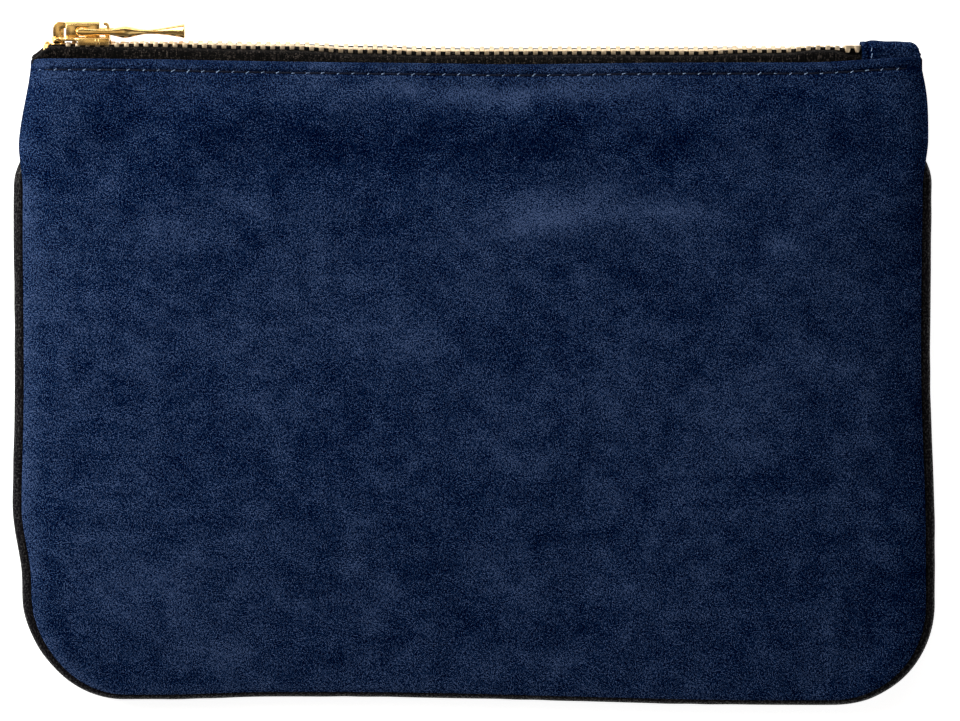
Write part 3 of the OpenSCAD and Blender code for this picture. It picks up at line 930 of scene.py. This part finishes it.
def stitch(ends, normal, radius=0.2, bow=0.16, sink=0.5):
    """One stitch of two-ply thread between two holes, arching over the suede."""
    a, b = np.asarray(ends[0], float), np.asarray(ends[1], float)
    normal = np.asarray(normal, float)
    t = np.linspace(0, 1, 13)
    arch = 1 - (2 * t - 1) ** 4
    path = a + (b - a) * t[:, None] + normal * (bow * arch - sink * (1 - arch) ** 2)[:, None]
    verts, faces, uv = tube(path, radius, 10, normal)
    length = np.linalg.norm(b - a)
    angle = np.tile(2 * np.pi * np.arange(10) / 10, 13)
    turn = np.repeat(t, 10) * length * 3.2
    centre = np.repeat(path, 10, axis=0)
    ply = 1 + 0.16 * np.cos(2 * (angle - turn))
    verts = centre + (verts - centre) * ply[:, None]
    return verts, faces, uv


def build_seam_thread():
    path = seam_path(5.0, PIPE_TOP, STITCH_PITCH / 2)
    points = warp(np.column_stack([path, np.full(len(path), SEAM_Z + 0.34)]))
    pairs = zip(points[:-1:2], points[1::2])
    parts = [stitch(ends, (0, 0, 1), 0.14, 0.02, 0.2) for ends in pairs]
    verts, faces, uv = merged(parts)
    root_piece(make("seam_stitches", verts, faces, THREAD, uv), "seam_thread")


def hem_stitches(front, low, high, painted_glints=False):
    """The topstitching whose middles lie between x low and high, or the pale loops at its holes that paint
    the highlights glinting there.
    """
    y = HEM_Y - STITCH_DOWN
    half = float(edge_half(y))
    belt = float(belt_height(y))
    sign = 1 if front else -1
    parts = []
    count = int(2 * (MOUTH_X - 2.5) / STITCH_PITCH)
    for k in range(count + 1):
        x = (k - count // 2 + 0.5) * STITCH_PITCH
        if not (low <= x < high) or abs(x) > MOUTH_X - 3:
            continue
        ends = np.array([[x - STITCH_L / 2, y, 0], [x + STITCH_L / 2, y, 0]])
        for end in ends:
            end[2] = outer_face(front, np.array(end[0]), np.array(y), half, belt)
            end[2] -= sign * 0.5
        # Small pale loops at each hole, painted highlights on the thread
        if painted_glints:
            ends = ends[0] + np.array([[-0.75, -0.16, 0.1], [-0.05, 0.16, 0.1]]) * (1, 1, sign)
            ends = ends + rng.normal(0, 0.11, (2, 3)) * (1, 1, 0)
            size = rng.uniform(0.09, 0.14)
            parts.append(stitch(warp(ends), (0, 0, sign), size, 0.12, 0.3))
        else:
            parts.append(stitch(warp(ends), (0, 0, sign), 0.2, 0.1))
    return merged(parts)


def build_topstitch():
    for side, name in SIDE_NAMES.items():
        low, high = (-200, SPLIT) if side < 0 else (SPLIT, 200)
        # Each side gets the dark stitches and the pale loops that paint their glints
        for painted_glints, kind, material in ((False, "topstitch", THREAD), (True, "painted_glints", PAINTED_GLINT_THREAD)):
            verts, faces, uv = hem_stitches(True, low, high, painted_glints)
            piece = make(f"front_{kind}_{name}", verts, faces, material, uv)
            front_piece(piece, "front_topstitch")
    for painted_glints, name, material in ((False, "back_topstitching", THREAD), (True, "back_painted_glints", PAINTED_GLINT_THREAD)):
        verts, faces, uv = hem_stitches(False, -200, 200, painted_glints)
        root_piece(make(name, verts, faces, material, uv), "back_topstitch")


# ---------------------------------------------------------------- zip tapes and teeth


def closing(x):
    """How much of its width the mouth has left at x, from 1 in the middle to about half at its ends."""
    return np.maximum(0.22, (1 - np.clip(np.abs(x) / (MOUTH_X + 0.6), 0, 1) ** 16)) ** 0.5


# At the left end the tapes dive into the pouch between these, by DIVE
TAPE_DIVE = 109.5, 115.5
DIVE = 3.4


def tape_points(side, x):
    """Middle line of one tape at each x, from its bead, over its bend, down behind the hem."""
    x = np.asarray(x, float)[:, None]
    near_slider = 1 - ramp(x, -95, -88)
    bend = mix(3.5, 3.85 if side > 0 else 4.25, near_slider)
    drop = 0.38 * ramp(x, -95, -89) + 0.55 * ramp(x, 93, 97)
    across = (BEAD_V + 0.1, 0.4), (BEAD_V + 0.6, 0.9), (BEAD_V + 0.9, 1.0), (bend, 1.5)
    flat = [on_soft_chain(np.concatenate([x - SLIDER[0], -drop * d, side * v + 0 * x], 1)) for v, d in across]
    r = 0.9
    last = flat[-1]
    angles = np.radians([22.5, 45, 67.5, 90])
    turned = [last + r * np.array([0, math.cos(a) - 1, side * math.sin(a)]) for a in angles]
    below = turned[-1][:, 1:2]
    knee = np.minimum(hem_line(x[:, 0])[:, None] + 0.35, below - 0.5)
    tail = [
        np.concatenate([x, knee - down, SEAM_Z + side * (out + 0 * x)], 1)
        for down, out in ((0, 4.2), (1.2, 4.15), (4, 4.15), (9, 4.15))
    ]
    rows = np.stack([*flat, *turned, *tail], 1)
    # towards both ends the tapes close up and dive
    fallen = -(rows[..., 1] - last[:, 1:2])
    ends = ramp(-x, *TAPE_DIVE)
    out = (rows[..., 2] - SEAM_Z) * mix(1.0, closing(x), ramp(fallen, 0.2, 3))
    out = out * (1 - 0.45 * ends) * (1 - 0.3 * ramp(x, 95, 100.5))
    ribs = 0.07 * np.cos(2 * np.pi * x / (TOOTH_PITCH / 5)) * ramp(fallen, 0.1, 0.6)
    rows[..., 2] = SEAM_Z + out + side * ribs
    rows[..., 1] -= DIVE * ends
    along = np.r_[0, np.cumsum(np.linalg.norm(np.diff(rows[len(rows) // 2], axis=0), axis=1))]
    return rows, along


TAPE_LEFT = -114.6
TAPE_RIGHT = BOTTOM_STOP_X + 5.6


def tape_piece(name, side, low, high):
    x = np.arange(low, high + 0.01, 0.126)
    x[-1] = high
    points, along = tape_points(side, x)
    uv = np.stack(np.broadcast_arrays(x[:, None], along[None]), -1).reshape(-1, 2)
    faces = grid_faces(*points.shape[:2], flipped=side > 0)
    return solidify(make(name, points.reshape(-1, 3), faces, TAPE, uv), TAPE_T, 0.0)


def bead_piece(name, side, low, high):
    x = np.arange(low, high + 0.01, 0.6)
    x[-1] = high
    ends = ramp(-x, *TAPE_DIVE)
    centre = on_soft_chain(np.column_stack([x - SLIDER[0], 0 * x, 0 * x + side * BEAD_V]))
    centre[:, 1] -= DIVE * ends
    centre[:, 2] = SEAM_Z + (centre[:, 2] - SEAM_Z) * (1 - 0.45 * ends)
    verts, faces, uv = tube(centre, BEAD_R, 14)
    return make(name, verts, faces, TAPE, uv, 60)


def ordered(bm):
    """The faces of bm as tuples of vertex numbers, in an order that is the same on every run."""
    faces = [tuple(v.index for v in f.verts) for f in bm.faces]
    return sorted(f[f.index(min(f)) :] + f[: f.index(min(f))] for f in faces)


def bevelled(outline, low, high, place, bevel, segments=2):
    """A prism on outline from low to high with rounded edges. place puts (a, b, h) rows where they go."""
    outline = np.asarray(outline, float)
    n = len(outline)
    points = np.concatenate([np.column_stack([outline, np.full(n, h)]) for h in (low, high)])
    bm = bmesh.new()
    verts = [bm.verts.new(p) for p in points]
    bm.faces.new(verts[:n][::-1])
    bm.faces.new(verts[n:])
    for k in range(n):
        bm.faces.new([verts[k], verts[(k + 1) % n], verts[n + (k + 1) % n], verts[n + k]])
    bmesh.ops.recalc_face_normals(bm, faces=bm.faces)
    sharp = [e for e in bm.edges if e.calc_face_angle(0) > math.radians(25)]
    shape = dict(segments=segments, profile=0.5, affect="EDGES", clamp_overlap=True)
    bmesh.ops.bevel(bm, geom=sharp, offset=bevel, **shape)
    bm.verts.ensure_lookup_table()
    out = np.array([v.co for v in bm.verts])
    faces = ordered(bm)
    bm.free()
    return place(out), faces, np.zeros((len(out), 2))


def s_u(points):
    """An outline of (s, u) extruded in v."""
    return points


def s_v(points):
    """An outline of (s, v) extruded in u."""
    return points[:, [0, 2, 1]] * np.array([1, 1, -1])


def u_v(points):
    """An outline of (u, v) extruded in s."""
    return points[:, [2, 0, 1]]


def tooth_shape(side):
    """A clamped brass element: head, shoulders and two legs, drawn as (u, v) and extruded along s."""
    u, v = 1.2, 2.9
    half = [(-u, 1.55), (-0.95, 1.2), (-0.78, 0.9), (-0.78, -0.45), (-0.5, -0.78)]
    right = [(-a, b) for a, b in half[::-1]]
    legs = [(u, v - 0.35), (u - 0.2, v), (-0.1, v + 0.02), (-0.14, v - 0.5)]
    legs += [(-0.62, v - 0.5), (-0.66, v), (-u + 0.2, v), (-u, v - 0.3)]
    outline = np.array(half + right + legs) * np.array([1, side])
    return bevelled(outline, -TOOTH_W / 2, TOOTH_W / 2, u_v, 0.13)


def teeth_piece(name, side, shift, low, high):
    first = -3.2 + shift
    last = int((BOTTOM_STOP_X - 1 - SLIDER[0] - first) / TOOTH_PITCH)
    shape, faces, uv = tooth_shape(side)
    parts = []
    for k in range(last + 1):
        s = first + k * TOOTH_PITCH
        x = SLIDER[0] + s
        if low <= x < high:
            local = shape + np.array([s, 0, 0]) + rng.normal(0, 0.012, 3)
            parts.append((on_soft_chain(local), faces, uv))
    verts, faces, uv = merged(parts)
    return make(name, verts, faces, GOLD_TEETH, None, 35)


def stop_piece(name, side):
    outline = np.array([(-1.15, 0.95), (1.15, 0.95), (1.2, 2.6), (0.8, 3.1), (-0.8, 3.1), (-1.2, 2.6)])
    verts, faces, _ = bevelled(outline * (1, side), -9.6, -8.3, u_v, 0.28, 3)
    if side > 0:
        turn = math.radians(32)
        u, v = verts[:, 1].copy(), verts[:, 2] - 1.2
        verts[:, 1] = u * math.cos(turn) - v * math.sin(turn) - 0.3
        verts[:, 2] = u * math.sin(turn) + v * math.cos(turn) + 1.7
    return make(name, on_chain(verts), faces, GOLD, None, 35)


def build_bottom_stop():
    parts = []
    for v, low, high in ((3.12, 0.5, 1.35), (2.0, -1.35, -0.75)):
        bar = [(0, -v), (4.5, -v), (4.5, v), (0, v)]
        parts.append(bevelled(bar, low, high, s_v, 0.2, 3))
    for low, high in ((-3.25, -2.35), (2.35, 3.25)):
        for a, b in ((0.15, 1.85), (2.7, 4.35)):
            leg = [(a, 1.3), (b, 1.3), (b - 0.12, 0.2), (b - 0.4, -0.62), (a + 0.4, -0.62), (a + 0.12, 0.2)]
            parts.append(bevelled(leg, low, high, s_u, 0.18, 2))
    parts.append(bevelled([(0.3, -1.3), (4.2, -1.3), (4.2, 1.3), (0.3, 1.3)], -0.9, 0.9, s_v, 0.2, 2))
    verts, faces, _ = merged(parts)
    points = on_soft_chain(verts + np.array([BOTTOM_STOP_X - SLIDER[0], 0, 0]))
    root_piece(make("bottom_clamp", points, faces, GOLD_TEETH, None, 35), "bottom_stop")


def build_zip():
    for side, name in SIDE_NAMES.items():
        low, high = (TAPE_LEFT, SPLIT) if side < 0 else (SPLIT, TAPE_RIGHT)
        front_piece(tape_piece(f"front_tape_{name}", 1, low, high), "front_tape")
        front_piece(bead_piece(f"front_bead_{name}", 1, low, high), "front_bead")
        teeth = teeth_piece(f"front_teeth_{name}", 1, 0, low, high)
        front_piece(teeth, "front_teeth")
    root_piece(tape_piece("back_zip_tape", -1, TAPE_LEFT, TAPE_RIGHT), "back_tape")
    root_piece(bead_piece("back_zip_bead", -1, TAPE_LEFT, TAPE_RIGHT), "back_bead")
    teeth = teeth_piece("back_zip_teeth", -1, TOOTH_PITCH / 2, TAPE_LEFT, TAPE_RIGHT)
    root_piece(teeth, "back_teeth")
    front_piece(stop_piece("front_stop", 1), "front_top_stop")
    root_piece(stop_piece("back_stop", -1), "back_top_stop")
    build_bottom_stop()


# ---------------------------------------------------------------- slider and puller


def plate_outline():
    """The slider's plate as (s, v): a narrow rounded front, shoulders, then the flanged part."""
    s = np.concatenate([
        -7.6 + 1.5 * (1 - np.cos(np.radians(np.linspace(0, 90, 7)))),
        np.linspace(-5.4, -0.6, 9),
        6.95 + 0.7 * np.sin(np.radians(np.linspace(0, 90, 5))),
    ])
    front = 1.1 + 1.0 * np.sqrt(np.clip(1 - ((-6.1 - s) / 1.5).clip(0, 1) ** 2, 0, 1))
    w = front + 1.5 * ramp(s, -6.0, -3.6) + 0.5 * ramp(s, -1.4, -0.6)
    w = w - 0.7 * (1 - np.sqrt(np.clip(1 - ((s - 6.95) / 0.7).clip(0, 1) ** 2, 0, 1)))
    return np.concatenate([np.column_stack([s, w]), np.column_stack([s, -w])[::-1]])


def round_box(low, high, place=s_u, bevel=0.15, segments=2):
    (a0, b0, h0), (a1, b1, h1) = low, high
    return bevelled([(a0, b0), (a1, b0), (a1, b1), (a0, b1)], h0, h1, place, bevel, segments)


def arc(cx, cy, r, start, end, n=6):
    t = np.radians(np.linspace(start, end, n))
    return [(cx + r * math.cos(a), cy + r * math.sin(a)) for a in t]


def nose(centre, radii):
    """The rounded lip at the slider's wide end."""
    bm = bmesh.new()
    bmesh.ops.create_uvsphere(bm, u_segments=28, v_segments=16, radius=1)
    p = np.array([v.co for v in bm.verts])
    p = np.sign(p) * np.abs(p) ** 0.8
    faces = ordered(bm)
    bm.free()
    return p * np.array(radii) + np.array(centre), faces, np.zeros((len(p), 2))


def build_slider_body():
    parts = [
        bevelled(plate_outline(), 1.6, 2.5, s_v, 0.2, 3),
        bevelled(plate_outline(), -2.3, -1.5, s_v, 0.2, 3),
        nose((-6.3, 1.75, 0), (1.25, 1.1, 2.9)),
    ]
    for side in (-1, 1):
        inner, outer = sorted((side * 3.2, side * 4.18))
        parts.append(round_box((-0.6, 0.55, inner), (7.6, 2.47, outer), s_u, 0.2, 3))
        parts.append(round_box((-0.6, -2.2, inner), (7.6, -0.6, outer), s_u, 0.2, 3))
        rib_in, rib_out = sorted((side * 4.0, side * 4.3))
        for s in (3.9, 4.75):
            parts.append(round_box((s, 0.75, rib_in), (s + 0.4, 2.2, rib_out), s_u, 0.12, 2))
    wedge = [(-7.9, 0.9), (-6.7, 1.3), (-5.4, 1.2), (-4.2, 0.35)]
    wedge += [(s, -v) for s, v in wedge[::-1]]
    parts.append(bevelled(wedge, -1.6, 1.6, s_v, 0.15, 2))
    left_post = (
        [(-3.9, 2.2), (-3.9, 2.5)]
        + arc(-4.2, 3.6, 1.15, 270, 90, 8)[1:]
        + [(-3.9, 4.8), (-3.9, 6.05), (-4.2, 6.4)]
        + arc(-5.5, 4.8, 1.68, 80, 175, 7)
        + [(-7.25, 3.6), (-7.1, 2.2)]
    )
    parts.append(bevelled(left_post, -1.8, 1.8, s_u, 0.22, 3))
    parts.append(round_box((-5.4, 2.6, -1.2), (-4.42, 4.6, 1.2), s_u, 0.1, 2))
    hook = (
        [(6.3, 2.2), (7.5, 2.2), (7.5, 5.0)]
        + arc(6.35, 5.25, 1.12, 0, 120, 7)
        + arc(6.35, 5.2, 0.42, 120, 0, 5)
        + [(6.45, 4.6)]
    )
    parts.append(bevelled(hook, -1.7, 1.7, s_u, 0.16, 2))
    verts, faces, _ = merged(parts)
    body = make("slider_shell", on_chain(verts), faces, GOLD, None, 38)
    riding(body, "slider", "slider_body")


def build_slider_cap():
    """The crown: two walls that bridge the puller's pivot, a roof and two ends."""
    wall = (
        [(-3.84, 2.36), (-0.68, 2.36), (-0.68, 4.2)]
        + arc(0.2, 4.2, 0.88, 150, 30, 5)
        + [(1.08, 4.2), (1.08, 2.36), (4.85, 2.36), (4.85, 5.95), (-3.84, 5.95)]
    )
    walls = [bevelled(wall, v, v + 0.55, s_u, 0.12, 2) for v in (-1.8, 1.25)]
    profile = [(5.75, -1.82), (6.0, -1.82), (6.5, -1.1), (6.5, 1.1), (5.95, 1.82), (5.7, 1.82)]
    roof = bevelled(profile, -3.84, 4.87, u_v, 0.1, 2)
    ends = [round_box((s, 2.4, -1.7), (s + 0.5, 5.9, 1.7), s_u, 0.12, 2) for s in (-3.84, 4.35)]
    verts, faces, _ = merged([roof, *walls, *ends])
    cap = make("slider_crown", on_chain(verts), faces, GOLD, None, 38)
    riding(cap, "slider", "slider_cap")


def puller_half_t(s):
    low = mix(0.8, 1.62, ramp(s, 7.4, 11.2))
    mid = mix(1.62, 0.6, ramp(s, 11.2, 16.6))
    end = mix(0.6, 1.98, np.clip((s - 17.5) / 9.4, 0, 1) ** 1.5)
    return np.where(s < 11.4, low, np.where(s < 18, mid, end))


def puller_half_w(s):
    mid = mix(3.2, 1.75, ramp(s, 11.0, 18))
    end = mix(1.75, 3.4, np.clip((s - 18) / 8.9, 0, 1) ** 1.4)
    return np.where(s < 18, mid, end)


def puller_cage():
    """The coarse quads of the puller, a bar with a window round its pivot, as verts and faces."""
    s = [-1.3, -0.8, 0.2, 1.4, 3.5, 6.0, 7.6, 8.25, 9.3, 10.6, 11.6, 13.2, 15, 16.8, 18.4]
    s += [20.2, 22, 23.8, 25.2, 26.3, 26.75, 26.9]
    window_end = s.index(8.25)
    half_t = puller_half_t(np.array(s))
    half_t[:5] = (0.55, 0.98, 1.14, 1.02, 0.84)
    half_w = puller_half_w(np.array(s))
    half_t[-1] -= 0.08
    half_w[-1] -= 0.08
    inner = np.where(np.arange(len(s)) <= window_end, 2.1, half_w * 0.5)
    inner[window_end + 1] = 1.75
    verts, index = [], {}
    for k, place in enumerate(s):
        for j, v in enumerate((-half_w[k], -inner[k], inner[k], half_w[k])):
            for top in (0, 1):
                shoulder = 0.86 if j in (0, 3) and k > window_end else 1.0
                index[k, j, top] = len(verts)
                verts.append((place, (half_t[k] * shoulder) * (1 if top else -1), v))
    faces = []
    last = len(s) - 1
    for k in range(last):
        for j in (0, 1, 2):
            if j == 1 and k < window_end:
                continue
            for top in (0, 1):
                corners = (k, j), (k + 1, j), (k + 1, j + 1), (k, j + 1)
                quad = [index[*corner, top] for corner in corners]
                faces.append(quad if top else quad[::-1])
        walls = [0, 3] + ([1, 2] if k < window_end else [])
        for j in walls:
            quad = [index[k, j, 0], index[k + 1, j, 0], index[k + 1, j, 1], index[k, j, 1]]
            faces.append(quad if j in (0, 2) else quad[::-1])
    for j in (0, 2):
        faces.append([index[0, j, 0], index[0, j, 1], index[0, j + 1, 1], index[0, j + 1, 0]])
    for j in (0, 1, 2):
        faces.append([index[last, j, 0], index[last, j + 1, 0], index[last, j + 1, 1], index[last, j, 1]])
    faces.append([index[window_end, j, top] for j, top in ((1, 0), (1, 1), (2, 1), (2, 0))])
    return np.array(verts), faces


def build_puller():
    verts, faces = puller_cage()
    local = verts + np.array([PIVOT_S, PIVOT_U, 0])
    local[:, 1] += 0.4 * ramp(local[:, 0], 14, 27)
    obj = make("puller_bar", on_chain(local), faces, GOLD)
    bm = bmesh.new()
    bm.from_mesh(obj.data)
    bmesh.ops.recalc_face_normals(bm, faces=bm.faces)
    bm.to_mesh(obj.data)
    bm.free()
    m = obj.modifiers.new("smooth", "SUBSURF")
    m.levels = m.render_levels = 3
    baked(obj)
    obj.data.shade_smooth()
    riding(obj, "puller", "puller")


def build_pivot_bar():
    pin_path = on_chain([(PIVOT_S, PIVOT_U, v) for v in np.linspace(-2.4, 2.4, 9)])
    verts, faces, _ = tube(pin_path, 0.8, 20, UP)
    pin = make("puller_pivot_bar", verts, faces, GOLD, None, 40)
    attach(pin, "puller")


def build_lock_pin():
    """The pin keeps its CAD shape and becomes steel."""
    pin = frame["nodes"]["lock_pin"]
    pin.data.materials.clear()
    pin.data.materials.append(STEEL)


# ---------------------------------------------------------------- end tab


TAB_LEFT, TAB_RIGHT = 100.9, 115.4
TAB_T = 0.7
TAB_STITCH_X = TAB_LEFT + 2.3


def tab_section(x, t):
    """Point on the tab's inner face: x along the zip, t from -1 at the back to 1 at the front."""
    end = ramp(x, TAB_RIGHT - 2.6, TAB_RIGHT)
    out = np.clip((x - (TAB_RIGHT - 2.2)) / 2.2, 0, 1)
    top = mix(82.5, 82.35, ramp(x, TAB_LEFT, TAB_RIGHT)) - 2.2 * (1 - np.sqrt(np.maximum(0, 1 - out**2)))
    thick = mix(4.3, 1.7, ramp(x, TAB_LEFT - 2, TAB_RIGHT + 0.5)) * mix(1.0, 0.72, end)
    from_left = x - TAB_LEFT
    folds = 0.3 * bell(from_left, 0.6, 0.7) + 0.35 * bell(from_left, 3.2, 1.1)
    raised = folds - 0.42 * bell(from_left, 1.5, 0.4)
    top, thick = top + raised * 0.15 - 0.3 * ramp(-x, -TAB_LEFT - 3, -TAB_LEFT), thick + raised
    r = np.minimum(1.5, thick * 0.8)
    low = 70.0
    straight = top - r - low
    turn = math.pi / 2 * r
    flat = thick - r
    total = straight + turn + flat
    d = np.abs(t) * total
    angle = (d - flat) / r
    round_y, low_y = top - r + r * np.cos(angle), top - r - (d - flat - turn)
    y = np.where(d < flat, top, np.where(d < flat + turn, round_y, low_y))
    z = np.sign(t) * np.where(d < flat, d, np.where(d < flat + turn, flat + r * np.sin(angle), thick))
    lean = math.atan2(-ACROSS[1], ACROSS[2])
    return y - z * math.sin(lean) * ramp(y, 76, 81), SEAM_Z + z


def build_tab():
    rounded = TAB_RIGHT - 2.4 * (1 - np.sin(np.radians(np.linspace(0, 90, 12))))
    x = np.concatenate([np.arange(TAB_LEFT, TAB_RIGHT - 2.4, 0.3), rounded])
    t = np.linspace(-1, 1, 141)
    xx, tt = np.meshgrid(x, t, indexing="ij")
    y, z = tab_section(xx, tt)
    y = y + 0.05 * np.sin(xx * 1.1 + 3 * tt) * ramp(y, 78, 81)
    wide = 1.25 * ramp(-y, -80.2, -78.2) * ramp(xx, TAB_RIGHT - 3, TAB_RIGHT)
    points = np.stack([xx + wide, y, z], -1)
    uv = np.stack([xx, tt * 14 + 60], -1).reshape(-1, 2)
    obj = make("end_tab_patch", points.reshape(-1, 3), grid_faces(*xx.shape, flipped=True), SUEDE, uv)
    # Painted light and shade on the tab: a painted highlight on the raised fold, painted shade in the crease
    # beside it, darker overall and towards the bottom, and a painted highlight along the top
    from_left = xx - TAB_LEFT
    tab_painted_light = 0.16 * bell(from_left, 0.5, 0.5) - 0.4 * bell(from_left, 1.5 + 0.25 * np.sin(2.6 * y), 0.45)
    add_painted_light_and_nap(obj, tab_painted_light - 0.08 - 0.2 * ramp(-y, -78.9, -78.2) + 0.1 * ramp(y, 81.3, 82.4))
    solidify(obj, TAB_T)
    root_piece(obj, "end_tab")


# The tab's stitches are drawn in the pale thread whose colour paints their glint
def build_tab_stitches():
    parts = []
    for side in (-1, 1):
        for low, high in ((78.5, 79.8), (80.3, 81.4)):
            ends = []
            for aim, slant in ((low, 0), (high, 0.25)):
                sy, sz = tab_section(np.full(400, TAB_STITCH_X), side * np.linspace(0, 1, 400))
                k = int(np.abs(sy - aim).argmin())
                ends.append((TAB_STITCH_X + slant, sy[k], sz[k] + side * (TAB_T + 0.02)))
            parts.append(stitch(ends, (0, 0, side), 0.11, 0.1, 0.35))
    verts, faces, uv = merged(parts)
    root_piece(make("tab_stitching_painted_glint", verts, faces, PAINTED_GLINT_THREAD, uv), "tab_stitch")


# ---------------------------------------------------------------- stage, light and camera


VIEW_W_MM = 249.6
LENS = 200.0
SENSOR = 36.0


def build_stage():
    bpy.ops.mesh.primitive_plane_add(size=12, location=(0, 0, -0.0002))
    floor = bpy.context.object
    floor.name = "floor"
    floor.data.materials.append(floor_material())


def area_light(name, place, aim, size, power, colour=(1, 1, 1), size_y=None):
    data = bpy.data.lights.new(name, "AREA")
    data.energy = power
    data.color = colour
    data.size = size
    if size_y:
        data.shape = "RECTANGLE"
        data.size_y = size_y
    obj = bpy.data.objects.new(name, data)
    obj.location = place
    direction = Vector(aim) - Vector(place)
    obj.rotation_euler = direction.to_track_quat("-Z", "Y").to_euler()
    bpy.context.scene.collection.objects.link(obj)
    return obj


def build_light():
    world = bpy.data.worlds.new("studio")
    bpy.context.scene.world = world
    world.use_nodes = True
    tree = world.node_tree
    background = tree.nodes["Background"]
    coord = tree.nodes.new("ShaderNodeTexCoord")
    split = tree.nodes.new("ShaderNodeSeparateXYZ")
    tree.links.new(coord.outputs["Generated"], split.inputs[0])
    height = tree.nodes.new("ShaderNodeValToRGB")
    tree.links.new(split.outputs["Z"], height.inputs["Fac"])
    stops = height.color_ramp.elements
    stops[0].position, stops[0].color = 0.0, (1.0, 1.0, 1.0, 1)
    stops[1].position, stops[1].color = 0.95, (0.22, 0.18, 0.13, 1)
    for place, colour in ((0.4, (0.85, 0.86, 0.88, 1)), (0.72, (0.20, 0.17, 0.14, 1))):
        stop = stops.new(place)
        stop.color = colour
    from_left = tree.nodes.new("ShaderNodeMapRange")
    tree.links.new(split.outputs["X"], from_left.inputs["Value"])
    for key, value in (("From Min", -1.0), ("From Max", 1.0), ("To Min", 0.7), ("To Max", 0.2)):
        from_left.inputs[key].default_value = value
    tree.links.new(height.outputs["Color"], background.inputs["Color"])
    tree.links.new(from_left.outputs["Result"], background.inputs["Strength"])
    area_light("key", (-0.47, 0.26, 0.35), (0, 0, 0), 0.35, 4.5, (1, 0.985, 0.96), 0.5)
    area_light("fill", (0.5, -0.2, 0.9), (0, 0, 0), 0.6, 1.0, (0.97, 0.985, 1))
    area_light("top_edge", (0.05, 0.8, 0.4), (0, 0.05, 0), 0.9, 2.2, (1, 0.97, 0.92), 0.2)
    card = area_light("metal_card", (-0.13, 0.07, 0.45), (-0.1, 0.08, 0), 0.2, 0.085, (1, 0.84, 0.56))
    card.visible_diffuse = False
    card.visible_camera = False


def build_camera():
    data = bpy.data.cameras.new("camera")
    data.lens = LENS
    data.sensor_width = SENSOR
    data.clip_end = 50
    camera = bpy.data.objects.new("camera", data)
    height = VIEW_W_MM * MM * LENS / SENSOR
    camera.location = (1.7 * MM, 0.1 * MM, 0.008 + height)
    bpy.context.scene.collection.objects.link(camera)
    bpy.context.scene.camera = camera
    bpy.context.scene.view_settings.view_transform = "Standard"


for front in (True, False):
    SWELL[front] = simulated_swell(front)
build_suede()
build_lining()
build_piping()
build_piping_cord()
build_seam_thread()
build_topstitch()
build_zip()
build_slider_body()
build_slider_cap()
build_lock_pin()
build_puller()
build_pivot_bar()
build_tab()
build_tab_stitches()
build_stage()
build_light()
build_camera()
